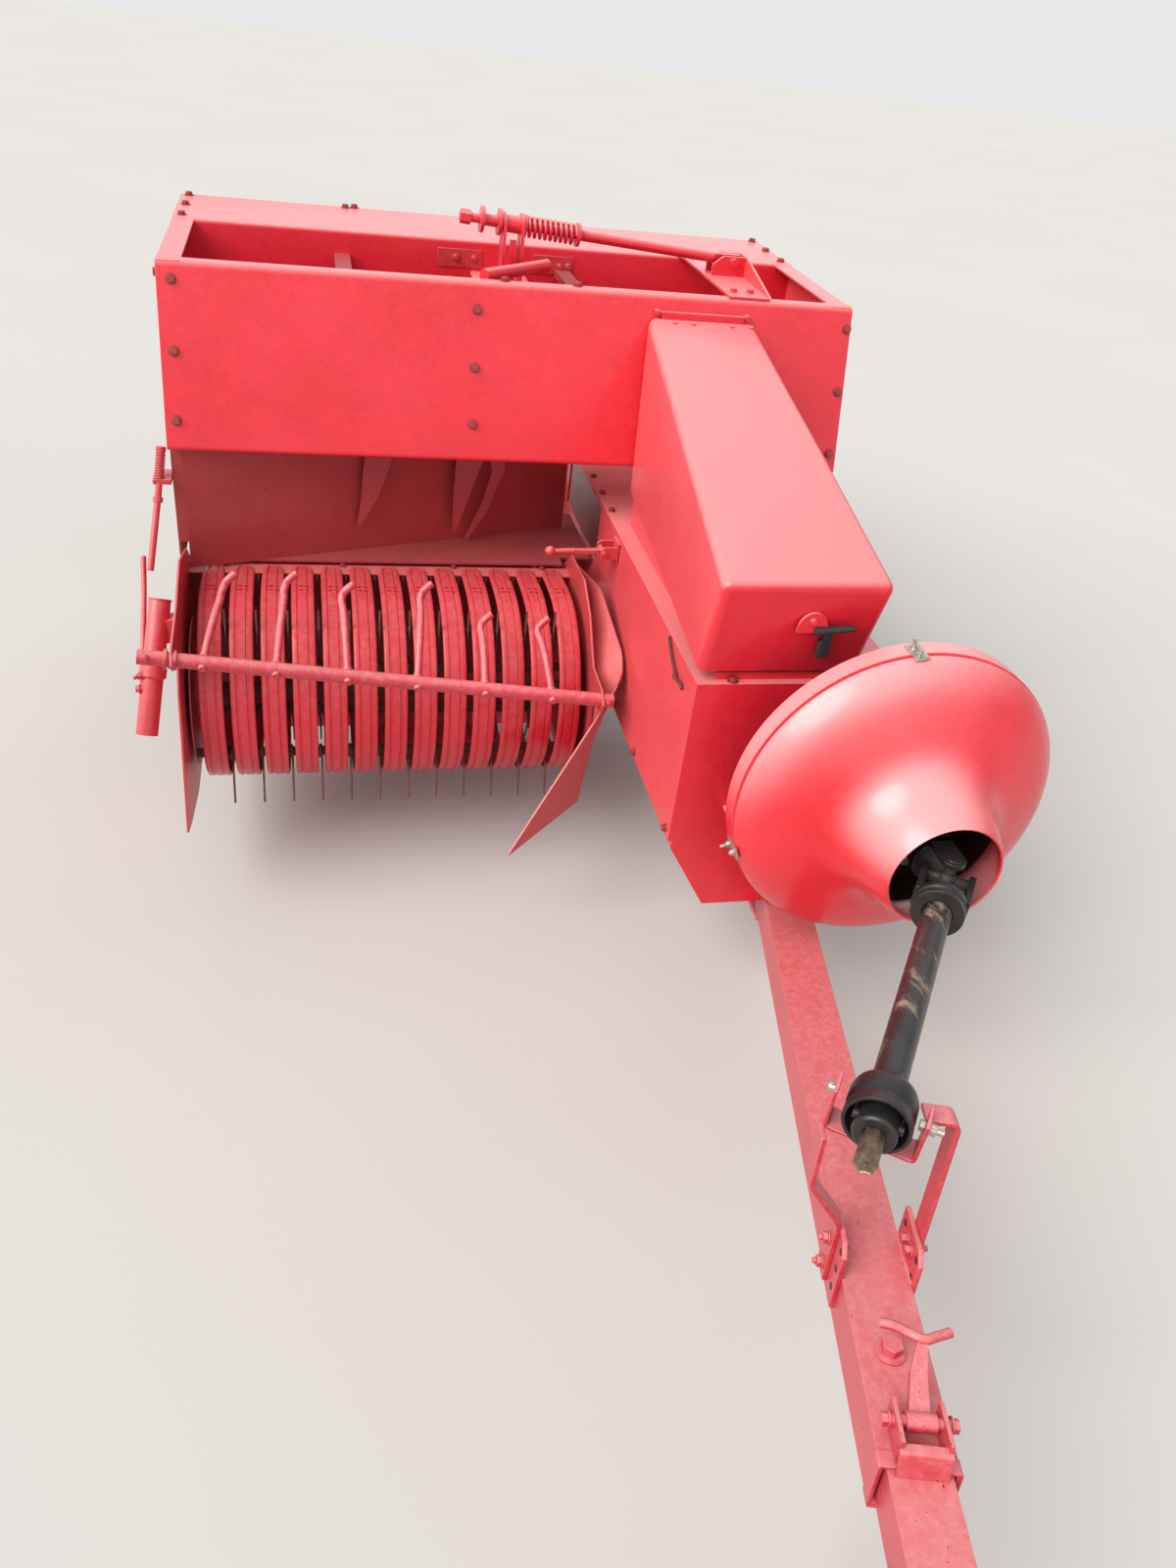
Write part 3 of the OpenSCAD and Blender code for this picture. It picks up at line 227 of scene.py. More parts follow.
# Each finish: its maker, the material's name and what the maker's arguments ask for, in their order
FINISHES = {
    # Sprayed machinery enamel on the outer sheets: bright red, glossy
    "red": (sprayed_enamel, "sprayed_red_enamel", "#d71527", "#df2236", 0.14, 0.76, 0.58),
    # The same enamel on the spun cowl: a little paler and glossier, with the strongest painted sheen on its
    # upper shoulder
    "cowl": (sprayed_enamel, "spun_red_enamel", "#d81a28", "#e02c3a", 0.10, 0.86, 0.85, 0.24),
    # The same enamel where crop and hands rub it: duller, more dust, more chips
    "rubbed": (sprayed_enamel, "rubbed_red_enamel", "#bd1f2a", "#c8323d", 0.34, 0.70, 0.30, 0.40),
    # Rolled bands: enamel scoured thin by straw along their crowns
    "band": (sprayed_enamel, "scoured_red_enamel", "#c41226", "#ce2438", 0.45, 0.74, 0.10, 0.26, "#6e4a3c",
             "#b98d80"),
    # The same enamel in the crop's way: brown with soil and dust; on the rear pan it is also painted shade
    "soiled": (sprayed_enamel, "soiled_red_enamel", "#9c252a", "#a63437", 0.50, 0.68, 0.10, 0.50, "#4b2f25",
               "#8f6a5c"),
    # Enamel on the drawbar, walked on and scraped: pinkish fade and dust; the pale pink dust on its tops is
    # also a painted highlight
    "scraped": (sprayed_enamel, "scraped_red_enamel", "#b4182b", "#c22f41", 0.42, 0.70, 0.36, 0.34,
                "#5a3226", "#dfb0a8"),
    # Cream wheel enamel
    "cream": (sprayed_enamel, "sprayed_cream_enamel", "#cfc6b2", "#ddd6c6", 0.60, 0.70, 0.0, 0.40,
              "#6a4630", "#a08e78"),
    # Spring steel polished by the crop, with rust between
    "steel": (worn_metal, "crop_polished_steel", "#a9a5a0", "#6f6a66", "#6d4632"),
    # Reel bars: rolled steel brown with rust and chaff
    "reel_bar": (worn_metal, "rusty_rolled_steel", "#6a3a33", "#4a2b27", "#5d3a2c", 0.2, 0.6, 0.46),
    # Spring tines drawn from wire, rubbed bright at their tips
    "tine": (worn_metal, "drawn_spring_wire", "#7c544a", "#643e36", "#5c4034", 0.4, 0.42, 0.54, 55.0),
    # Zinc plated nuts and washers, still bright
    "zinc": (worn_metal, "zinc_plated_steel", "#d2cfc6", "#a59f92", "#84694a", 0.85, 0.32, 0.62, 90.0),
    # Bolt heads sprayed over and rusting at their corners
    "bolt": (worn_metal, "rusting_painted_bolt", "#a8363a", "#8a3331", "#6b4433", 0.1, 0.50, 0.54, 80.0),
    # Machined stub, brown with old grease
    "stub": (worn_metal, "greased_machined_steel", "#8f7f70", "#6a5646", "#45352a", 0.75, 0.38, 0.55, 40.0),
    # Profile tube: black paint flaking off rusty tan steel, in streaks along the tube
    "tube": (worn_metal, "flaking_black_on_tan_steel", "#343132", "#262424", "#b09b84", 0.15, 0.34, 0.52,
             34.0, (1.0, 0.35, 1.0)),
    # Forged yokes and collar under black paint
    "black": (worn_metal, "black_painted_forging", "#1c1b1c", "#2a2827", "#5b463a", 0.1, 0.36, 0.68, 60.0),
    # Sand cast iron
    "cast": (worn_metal, "sand_cast_iron", "#4b4542", "#383330", "#5f4232", 0.6, 0.62, 0.58, 24.0,
             (1, 1, 1), 0.0012),
    # Moulded black rubber: latch strap and valves; the same dark finish fills drilled holes as painted shade
    "rubber": (worn_metal, "black_rubber_and_hole_shade", "#232222", "#2f2d2c", "#4a443e", 0.0, 0.60, 0.60, 60.0),
    "tyre": (tyre_rubber, "moulded_tyre_rubber"),
    "floor": (pale_floor, "pale_studio_floor"),
}
MADE = {}


def finish_of(name):
    """The material of that short name; made once, on its first use."""
    if name not in MADE:
        maker, *settings = FINISHES[name]
        MADE[name] = maker(*settings)
    return MADE[name]


# Points in millimetres

def at_x(x, *points):
    """Points of one upright plane across X, from (y, z) pairs."""
    return [(x, y, z) for y, z in points]


def at_y(y, *points):
    """Points of one upright plane across Y, from (x, z) pairs."""
    return [(x, y, z) for x, z in points]


def at_z(z, *points):
    """Points of one level plane, from (x, y) pairs."""
    return [(x, y, z) for x, y in points]


def round_x(centre, radius, turn):
    """The point at an angle round the line along X through the centre."""
    x, y, z = centre
    return Vector((x, y + radius * math.cos(turn), z + radius * math.sin(turn)))


def half_round(wide, high):
    """Points of a half ellipse as (along its foot, above its foot) pairs."""
    turns = [math.radians(a) for a in range(0, 181, 15)]
    return [(wide * math.cos(turn), high * math.sin(turn)) for turn in turns]


def bend_line(points, radius, steps=5):
    """Rounds the corners of a line of points, as a folding press leaves them."""
    points = [Vector(p) for p in points]
    line = [points[0]]
    for before, corner, after in zip(points, points[1:], points[2:]):
        start = corner + (before - corner).normalized() * radius
        end = corner + (after - corner).normalized() * radius
        for part in (i / steps for i in range(steps + 1)):
            line.append(start.lerp(corner, part).lerp(corner.lerp(end, part), part))
    return line + [points[-1]]


def coil(start, end, radius, turns, per_turn=14):
    """Points of a helix round the line from start to end."""
    start, end = Vector(start), Vector(end)
    place = Matrix.Translation(start) @ facing(end - start)
    total = int(turns * per_turn)
    rise = (end - start).length
    points = []
    for i in range(total + 1):
        turn = i * math.tau / per_turn
        points.append(place @ Vector((radius * math.cos(turn), radius * math.sin(turn), rise * i / total)))
    return points


def facing(direction):
    """The turn that brings Z to a direction."""
    return Vector(direction).to_track_quat("Z", "Y").to_matrix().to_4x4()


# Mesh tools: each adds one shape in millimetres to a bmesh

def pick(geometry, kind):
    """The corners, the edges or the faces of a mixed list."""
    return [g for g in geometry if isinstance(g, kind)]


def soften(bm, verts, factor):
    """Moves corners part of the way to the middle of their neighbours."""
    bmesh.ops.smooth_vert(bm, verts=verts, factor=factor, use_axis_x=True, use_axis_y=True, use_axis_z=True)


def add_block(bm, low, high):
    """A block between two corners."""
    low, high = Vector(low), Vector(high)
    place = Matrix.Translation((low + high) / 2) @ Matrix.Diagonal((high - low).to_4d())
    return bmesh.ops.create_cube(bm, size=1.0, matrix=place)["verts"]


def add_bar(bm, start, end, radius, sides=20, end_radius=None):
    """A round bar, or with few sides a hexagonal one, from start to end."""
    start, end = Vector(start), Vector(end)
    place = Matrix.Translation((start + end) / 2) @ facing(end - start)
    bmesh.ops.create_cone(bm, cap_ends=True, segments=sides, radius1=radius, radius2=end_radius or radius,
                          depth=(end - start).length, matrix=place)


def add_plate(bm, outline, thickness):
    """A flat plate: the outline's face pushed out by the thickness vector."""
    face = bm.faces.new([bm.verts.new(p) for p in outline])
    pushed = bmesh.ops.extrude_face_region(bm, geom=[face])["geom"]
    bmesh.ops.translate(bm, vec=thickness, verts=pick(pushed, BMVert))


def add_line(bm, points):
    """A line of edges through the points: its corners and its edges."""
    verts = [bm.verts.new(p) for p in points]
    return verts, [bm.edges.new(pair) for pair in zip(verts, verts[1:])]


def push_edges(bm, edges, step):
    """Draws a strip of faces out of a line of edges: the faces, the new corners and the new line."""
    pushed = bmesh.ops.extrude_edge_only(bm, edges=edges)["geom"]
    corners = pick(pushed, BMVert)
    bmesh.ops.translate(bm, vec=step, verts=corners)
    line = [e for e in pick(pushed, BMEdge) if all(v in corners for v in e.verts)]
    return pick(pushed, BMFace), corners, line


def add_wall(bm, faces, thickness, inside):
    """Gives a sheet its thickness towards the inside point."""
    bmesh.ops.recalc_face_normals(bm, faces=faces)
    broad = max(faces, key=lambda f: f.calc_area())
    if broad.normal.dot(Vector(inside) - broad.calc_center_median()) > 0:
        bmesh.ops.reverse_faces(bm, faces=faces)
    bmesh.ops.solidify(bm, geom=faces, thickness=thickness)


def add_fold(bm, line, reach, thickness, inside, steps=1):
    """A folded sheet: the line swept by the reach vector, its thickness on the side of the inside point."""
    edges = add_line(bm, line)[1]
    faces = []
    for _ in range(steps):
        strip, _, edges = push_edges(bm, edges, Vector(reach) / steps)
        faces += strip
    add_wall(bm, faces, thickness, inside)


def add_turned(bm, profile, centre, axis, steps):
    """A turned shape: the (radius, along) profile spun about the axis through the centre."""
    place = Matrix.Translation(centre) @ facing(axis)
    verts, edges = add_line(bm, [place @ Vector((radius, 0, along)) for radius, along in profile])
    before = set(bm.faces)
    bmesh.ops.spin(bm, geom=verts + edges, cent=centre, axis=Vector(axis).normalized(), angle=math.tau,
                   steps=steps, use_merge=True)
    return [f for f in bm.faces if f not in before]


def add_bolt(bm, centre, normal, across, height, washer=2.0, stud=0.0):
    """A hexagon head on its washer, with the end of its stud where one shows."""
    centre, normal = Vector(centre), Vector(normal).normalized()
    if washer:
        add_bar(bm, centre, centre + normal * washer, across * 0.72, 24)
    top = centre + normal * (washer + height)
    add_bar(bm, centre + normal * washer, top, across * 0.577, 6)
    if stud:
        add_bar(bm, top, centre + normal * (washer + height + stud), across * 0.3, 12)


def add_bolts(bm, places, normal, across, height, **more):
    """The same bolt at several places."""
    for place in places:
        add_bolt(bm, place, normal, across, height, **more)


# Pieces: each rides on its body, and takes the place of a CAD solid where it names one

def round_edges(piece, width):
    """Rounds a piece's sharp edges by a width in millimetres."""
    rounding = piece.modifiers.new("edge rounding", "BEVEL")
    rounding.width = width / 1000
    rounding.segments = 2
    rounding.limit_method = "ANGLE"
    rounding.angle_limit = math.radians(38)


def attach(piece, body, finish, replaces):
    """Links a piece with its finish and lets it ride on its body."""
    bpy.context.scene.collection.objects.link(piece)
    piece.data.materials.append(finish_of(finish))
    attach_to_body(piece, body)
    if replaces:
        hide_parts(replaces)


def make_piece(name, bm, body, finish, frame_matrix=MACHINE, bevel=1.2, replaces=None, smooth=32):
    """Turns a bmesh into a finished piece."""
    bmesh.ops.transform(bm, matrix=frame_matrix, verts=bm.verts)
    bmesh.ops.recalc_face_normals(bm, faces=bm.faces)
    mesh = bpy.data.meshes.new(name)
    bm.to_mesh(mesh)
    bm.free()
    mesh.shade_smooth()
    mesh.set_sharp_from_angle(angle=math.radians(smooth))
    piece = bpy.data.objects.new(name, mesh)
    if bevel:
        round_edges(piece, bevel)
    attach(piece, body, finish, replaces)


def make_wires(name, paths, radius, body, finish, frame_matrix=MACHINE, kind="BEZIER"):
    """Bent bars or wires: one curve of several splines through the given points."""
    curve = bpy.data.curves.new(name, "CURVE")
    curve.dimensions = "3D"
    curve.bevel_depth = radius / 1000
    curve.bevel_resolution = 4
    curve.resolution_u = 6
    curve.use_fill_caps = True
    for points in paths:
        places = [frame_matrix @ Vector(p) for p in points]
        spline = curve.splines.new(kind)
        if kind == "BEZIER":
            spline.bezier_points.add(len(places) - 1)
            for knot, place in zip(spline.bezier_points, places):
                knot.co = place
                knot.handle_left_type = knot.handle_right_type = "AUTO"
        else:
            spline.points.add(len(places) - 1)
            for knot, place in zip(spline.points, places):
                knot.co = (*place, 1.0)
    attach(bpy.data.objects.new(name, curve), body, finish, None)


# Sizes and looks that a user would change

class BalerSizes(PropertyGroup):
    """Sizes of the fittings"""
    bolt_across: FloatProperty(
        name="Bolt head", description="Width across flats of the panel bolts", default=17.0, min=10, max=24)
    rod_radius: FloatProperty(
        name="Guard rod radius", description="Radius of the wind guard's rods", default=9.0, min=6, max=12)
    tread_lugs: IntProperty(
        name="Tread blocks", description="Number of tread blocks round a tyre", default=44, min=24, max=60)


class BalerStage(PropertyGroup):
    """Camera lens, surroundings and floor"""
    lens: FloatProperty(
        name="Lens", description="Focal length on a 36 mm high frame", default=26.78, min=18, max=80)
    sky: FloatProperty(
        name="Sky level", description="Strength of the pale surroundings", default=0.66, min=0, max=3)
    floor_size: FloatProperty(
        name="Floor", description="Length of the floor's side", default=60.0, unit="LENGTH")


# Stage: camera, lights and floor

class BALER_OT_stage(Operator):
    """Sets the camera where the photograph was taken, the soft lights and the pale floor"""
    bl_idname = "baler.stage"
    bl_label = "Stage"

    def execute(self, context):
        scene = context.scene
        looks = scene.baler_stage
        camera_data = bpy.data.cameras.new("camera")
        camera_data.sensor_fit = "VERTICAL"
        camera_data.sensor_height = 36.0
        camera_data.sensor_width = 27.0
        camera_data.lens = looks.lens
        camera_data.clip_end = 200.0
        camera = bpy.data.objects.new("camera", camera_data)
        scene.collection.objects.link(camera)
        sin_yaw, cos_yaw = math.sin(CAMERA_YAW), math.cos(CAMERA_YAW)
        sin_pitch, cos_pitch = math.sin(CAMERA_PITCH), math.cos(CAMERA_PITCH)
        across = Vector((cos_yaw, sin_yaw, 0))
        forward = Vector((-sin_yaw * cos_pitch, cos_yaw * cos_pitch, -sin_pitch))
        upward = Vector((-sin_yaw * sin_pitch, cos_yaw * sin_pitch, cos_pitch))
        right = across * math.cos(CAMERA_ROLL) + upward * math.sin(CAMERA_ROLL)
        top = upward * math.cos(CAMERA_ROLL) - across * math.sin(CAMERA_ROLL)
        turn = Matrix((right, top, -forward)).transposed().to_4x4()
        camera.matrix_world = Matrix.Translation(CAMERA_AT) @ turn
        scene.camera = camera
        scene.view_settings.view_transform = "Standard"

        # Broad soft lights: their discs are wide, so shadows fade within a hand's breadth
        for name, direction, strength, spread, shade_of in (
                ("key light", (0.98, 0.44, -0.95), 3.6, 46, "#fffaf4"),
                ("fill light", (-0.3, 1.0, -0.5), 0.55, 70, "#f4f7ff"),
                ("rear light", (-0.4, -1.0, -0.8), 0.5, 70, "#ffffff")):
            lamp = bpy.data.lights.new(name, "SUN")
            lamp.energy = strength
            lamp.angle = math.radians(spread)
            lamp.color = linear(shade_of)[:3]
            light = bpy.data.objects.new(name, lamp)
            light.matrix_world = Matrix.Translation((0, 0, 6)) @ facing(-Vector(direction))
            scene.collection.objects.link(light)

        # The camera sees the surroundings brighter than they light the machine
        seen_level = 0.92
        world = bpy.data.worlds.new("pale surroundings")
        world.use_nodes = True
        tree = world.node_tree
        tree.nodes.clear()
        seen = add_node(tree, "LightPath", {}, "Is Camera Ray")
        through = seen.node.outputs["Is Transmission Ray"]
        seen = add_node(tree, "Math", {0: seen, 1: through}, operation="MAXIMUM")
        level = add_node(tree, "MapRange", {"Value": seen, "To Min": looks.sky, "To Max": seen_level})
        sky = add_node(tree, "Background", {"Color": linear("#f1f2f3"), "Strength": level})
        add_node(tree, "OutputWorld", {"Surface": sky})
        scene.world = world

        bm = bmesh.new()
        bmesh.ops.create_grid(bm, x_segments=4, y_segments=4, size=looks.floor_size / 2)
        mesh = bpy.data.meshes.new("floor")
        bm.to_mesh(mesh)
        bm.free()
        mesh.materials.append(finish_of("floor"))
        floor = bpy.data.objects.new("floor", mesh)
        scene.collection.objects.link(floor)
        return {"FINISHED"}


# CAD solids that stay, each with the finish of the real piece
CARRIED = {
    "feeder_fork": "soiled", "feed_table": "soiled", "plunger_housing": "red", "plunger": "cast",
    "bale_chamber": "red", "front_frame": "red", "main_frame": "rubbed", "flywheel": "cast",
    "joint_cross": "cast", "drawbar": "scraped", "hitch_tongue": "scraped", "shaft_cradle": "scraped",
    "drawbar_latch": "scraped", "parking_stand": "rubbed", "axle": "rubbed", "pickup_frame": "rubbed",
    "gauge_wheel_socket": "rubbed", "needle_yoke": "steel", "metering_wheel": "steel",
    "knotter_frame": "rubbed", "knotter_shaft": "cast", "tension_rails": "red", "bale_chute": "red",
    "twine_box": "red", "twine_lid": "red", "feeder_housing": "red", "packer_linkage": "red",
    "drive_cover": "red", "flywheel_cowl": "red", "input_yoke": "black", "drive_shaft": "tube",
    "right_rim": "cream", "left_rim": "cream", "right_tyre": "tyre", "left_tyre": "tyre",
    "stripper_bands": "rubbed", "tine_reel": "steel", "crop_divider": "rubbed", "wind_guard": "rubbed",
    "lift_link": "rubbed", "trip_lever": "rubbed",
}


class BALER_OT_solids(Operator):
    """Gives the frame's own solids their finish and rounds their edges"""
    bl_idname = "baler.solids"
    bl_label = "Frame solids"

    def execute(self, context):
        for node, finish in CARRIED.items():
            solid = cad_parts[node]
            solid.data.materials.clear()
            solid.data.materials.append(finish_of(finish))
            joined = solid.modifiers.new("joined corners", "WELD")
            joined.merge_threshold = 0.00002
            flat = solid.modifiers.new("flat faces", "DECIMATE")
            flat.decimate_type = "DISSOLVE"
            flat.angle_limit = math.radians(0.5)
            round_edges(solid, 1.2)
        return {"FINISHED"}


# Feeder housing and what stands on it

class BALER_OT_housing(Operator):
    """Feeder housing of folded sheet with its end walls, patch and bolts"""
    bl_idname = "baler.housing"
    bl_label = "Feeder housing"

    def execute(self, context):
        across = context.scene.baler_sizes.bolt_across
        right, left = HOUSING_ENDS
        width = (left - right, 0, 0)
        bm = bmesh.new()
        front = at_x(right, (50, 1398), (50, 1420), (5, 1420), (-106, 1024), (-51, 1024))
        add_fold(bm, bend_line(front, 15), width, 4, (0, 200, 1200), 8)
        rear = at_x(right, (520, 1024), (460, 1024), (460, 1420), (794, 1420), (794, 1024), (694, 1024))
        add_fold(bm, bend_line(rear, 9), width, 4, (0, 620, 1200), 8)
        for x in (right, left - 4):
            add_plate(bm, at_x(x, (12, 1411), (790, 1411), (790, 1024), (-92, 1024), (-97, 1042)), (4, 0, 0))
        add_block(bm, (right + 1, 8, 1412), (right + 54, 792, 1418.5))
        add_block(bm, (left - 54, 8, 1412), (left - 1, 792, 1418.5))
        for x in (424, 656):
            add_block(bm, (x, -22, 1377), (x + 12, -3, 1389))
        make_piece("housing_panels", bm, "frame", "red", replaces="feeder_housing")

        bm = bmesh.new()
        # The front plate leans forward by 0.2803 of its height
        for x, z in ((-698, 1383), (-701, 1237), (-705, 1091), (-11, 1361), (-15, 1236), (-17, 1110),
                     (934, 1371), (928, 1225), (924, 1076)):
            add_bolt(bm, (x, 5.0 - (HOUSING_TOP - z) * 0.2803, z), (0, -0.963, 0.270), across, 7.5)
        add_bolts(bm, at_z(HOUSING_TOP, (57, 30), (235, 30), (-290, 775), (-265, 785)), UP, across, 7)
        add_bolts(bm, product((right + 22, left - 22), (505, 640, 770), (HOUSING_TOP,)), UP, across, 7)
        add_bolts(bm, product((-690, -150, 390, 905), (794,), (1380, 1070)), REAR, across, 7.5)
        for y in (40, 240, 420, 600, 760):
            add_bolt(bm, (right, y, 1385), RIGHT, across, 7)
            add_bolt(bm, (left, y, 1385), LEFT, across, 7)
        make_piece("housing_bolts", bm, "frame", "bolt", bevel=0.8)

        bm = bmesh.new()
        add_block(bm, (200, 457, 1350), (311, 460, 1398))
        add_block(bm, (-60, 457, 1352), (60, 460, 1398))
        patch = at_y(457, (218, 1374), (273, 1372), (296, 1374), (-11, 1377), (38, 1377))
        add_bolts(bm, patch, FRONT, 13, 6)
        make_piece("housing_patch", bm, "frame", "rubbed")
        return {"FINISHED"}


class BALER_OT_packer(Operator):
    """Packer linkage: spring rod, lever, clevis and gusset on top of the housing"""
    bl_idname = "baler.packer"
    bl_label = "Packer linkage"

    def execute(self, context):
        def along(x):
            """The point of the rod's axis at X."""
            return Vector((x, 262, 1512 - 0.075 * x))
        bm = bmesh.new()
        # The rod with its nuts, washers and spacers
        for start, end, radius, sides in (
                (-8, 276, 11, 24), (-28, -2, 17.5, 6), (-29.5, -26, 11, 24),
                (22, 31, 31, 40), (34, 64, 14, 40), (66, 75, 31, 40),
                (132, 138, 27, 40), (268, 276, 28, 40), (276, 640, 13, 28)):
            add_bar(bm, along(start), along(end), radius, sides)
        # The rod's end is forged flat for the clevis pin
        add_block(bm, (638, 253, 1449), (712, 271, 1475))
        # Two lever plates with rounded tops on a sleeve, and the arm that carries them
        for x in (78, 124):
            top = [(x, 262 + y, 1504 + z) for y, z in half_round(31, 27)]
            add_plate(bm, top + at_x(x, (231, 1340), (293, 1340)), (8, 0, 0))
        add_bar(bm, along(77), along(133), 21, 32)
        add_block(bm, (96, 228, 1372), (112, 238, 1474))
        add_block(bm, (78, 238, 1340), (132, 286, 1352))
        arm = at_y(242, (30, 1333), (30, 1345), (180, 1345), (180, 1333))
        add_fold(bm, bend_line(arm, 6), (0, 217, 0), 5, (105, 350, 1300))
        # Gusset plate across the housing's mouth with an upstand and a two plate clevis
        gusset = at_z(HOUSING_TOP, (616, 10), (721, 10), (728, 80), (728, 300), (650, 480), (600, 480),
                      (613, 430))
        add_plate(bm, gusset, (0, 0, 6))
        add_plate(bm, at_x(721, (14, 1426), (292, 1426), (292, 1474), (232, 1474)), (6, 0, 0))
        for y in (232, 284):
            add_plate(bm, at_y(y, (633, 1425), (722, 1425), (722, 1474), (660, 1474), (633, 1452)),
                      (0, 8, 0))
        add_bar(bm, (690, 226, 1461), (690, 298, 1461), 9)
        add_bolt(bm, (690, 232, 1461), FRONT, 19, 8)
        # Cross tube of the packer crank behind the front flange
        add_bar(bm, (12, 66, 1421), (190, 205, 1425), 15, 28)
        add_bolts(bm, at_z(1426, (640, 60), (684, 60), (640, 452)), UP, 15, 7)
        make_piece("packer_linkage_parts", bm, "frame", "red", bevel=1.0,
                   replaces="packer_linkage")
        spring = coil(along(139), along(267), 21.5, 9.5)
        make_wires("packer_spring", [spring], 4.6, "frame", "red", kind="POLY")
        bm = bmesh.new()
        add_bolts(bm, ((-205, 29, 1004), (-238, 29, 1020), (80, 111, 1000), (62, 111, 1016), (0, 89, 1012),
                       (28, 89, 1012)), FRONT, 14, 6)
        make_piece("fork_bolts", bm, "frame", "bolt", bevel=0.6)
        return {"FINISHED"}


# Pick-up

class BALER_OT_bands(Operator):
    """Stripper bands rolled with two grooves and bolted to the deck, and the pan behind the reel, dark as
    painted shade
    """
    bl_idname = "baler.bands"
    bl_label = "Stripper bands"

    def execute(self, context):
        bm = bmesh.new()
        # One band: its section swept round the front, then back along the foot and along the tongue
        middle = (FIRST_BAND, -190, 462)
        section = [(-28, -5), (-26.5, -1), (-24, 0), (-16, 0), (-14, -2.8), (-11, -2.8), (-9, 0)]
        section += [(-x, z) for x, z in reversed(section)]
        verts, edges = add_line(bm, [(FIRST_BAND + x, -190, 712 + z) for x, z in section])
        spun = bmesh.ops.spin(bm, geom=verts + edges, cent=middle, axis=LEFT, angle=math.pi, steps=26)
        foot = pick(spun["geom_last"], BMEdge)
        for step in ((0, 90, 6), (0, 76, 22), (0, 38, 0)):
            foot = push_edges(bm, foot, step)[2]
        tongue = (((0, 40, 0), 1.0), ((0, 60, -4), 0.98), ((0, 34, -2), 0.95), ((0, 18, 0), 0.62))
        for step, narrow in tongue:
            _, corners, edges = push_edges(bm, edges, step)
            bmesh.ops.scale(bm, vec=(narrow, 1, 1), space=Matrix.Translation((-FIRST_BAND, 0, 0)),
                            verts=corners)
        add_wall(bm, list(bm.faces), 3, middle)
        for x, y in product((FIRST_BAND - 7, FIRST_BAND + 7), (-168, -188)):
            add_bar(bm, (x, y, 711), (x, y, 716), 4.2, 10)
        whole = list(bm.verts) + list(bm.edges) + list(bm.faces)
        for i in range(1, 13):
            copy = bmesh.ops.duplicate(bm, geom=whole)["geom"]
            bmesh.ops.translate(bm, vec=(BAND_PITCH * i, 0, 0), verts=pick(copy, BMVert))
        make_piece("rolled_stripper_bands", bm, "pickup", "band", bevel=0,
                   replaces="stripper_bands", smooth=50)

        # Rear pan that closes the pick-up behind the reel; its dark soiled enamel darkens the inside between
        # the bands as painted shade
        bm = bmesh.new()
        pan = at_x(-712, (20, 205), (24, 240), (66, 330), (84, 450), (70, 530), (44, 590), (10, 660),
                   (-30, 703))
        add_fold(bm, bend_line(pan, 12), (983, 0, 0), 3, (-220, 600, 450))
        make_piece("rear_pan_painted_shade", bm, "pickup", "soiled", bevel=0, smooth=50)
        return {"FINISHED"}


class BALER_OT_reel(Operator):
    """Tine reel: shaft, end discs, bars and coil-sprung tines"""
    bl_idname = "baler.reel"
    bl_label = "Tine reel"

    def execute(self, context):
        bar_radius, tip_radius = 165, 288
        bm, discs = bmesh.new(), bmesh.new()
        add_bar(bm, (-722, REEL_Y, REEL_Z), (281, REEL_Y, REEL_Z), 20, 28)
        for x in (-700, 250):
            faces = add_turned(discs, [(20, 0), (60, 0), (150, 0), (187, 0)], (x + 2.5, REEL_Y, REEL_Z),
                               LEFT, 48)
            bmesh.ops.solidify(discs, geom=faces, thickness=4)
            add_bar(discs, (x - 1, REEL_Y, REEL_Z), (x + 7, REEL_Y, REEL_Z), 62, 32)
        tines = []
        for bar_angle, tip_angle in ((40, 62), (130, 108), (220, 232), (310, 300)):
            bar = round_x((0, REEL_Y, REEL_Z), bar_radius, math.radians(bar_angle))
            y, z = bar.yz
            add_bar(bm, (-700, y, z), (255, y, z), 12)
            tip = round_x((0, REEL_Y, REEL_Z), tip_radius, math.radians(tip_angle))
            out = (tip - bar).normalized()
            over = Vector(LEFT).cross(out)
            # Between two bands each tine is wound twice round its bar and then runs out to its tip
            for i in range(12):
                x = FIRST_BAND + BAND_PITCH * (i + 0.5)
                loop = []
                for k in range(27):
                    turn = math.tau * k / 12
                    spread = 15.5 * (out * math.sin(turn) - over * math.cos(turn))
                    loop.append(Vector((x - 7 + 7 * k / 26, y, z)) + spread)
                foot = Vector((x, y, z)) + out * 32 - over * 9
                end = Vector((x, tip.y, tip.z))
                tines.append(loop + [foot, foot.lerp(end, 0.5) - over * 2.0, end])
                add_block(bm, (x - 13, y - 10, z - 13), (x - 8, y + 10, z + 13))
        make_piece("reel_shaft_and_bars", bm, "reel", "reel_bar", bevel=0.8,
                   replaces="tine_reel")
        make_piece("reel_discs", discs, "reel", "rubbed", bevel=0.8)
        make_wires("spring_tines", tines, 2.7, "reel", "tine", kind="POLY")
        return {"FINISHED"}


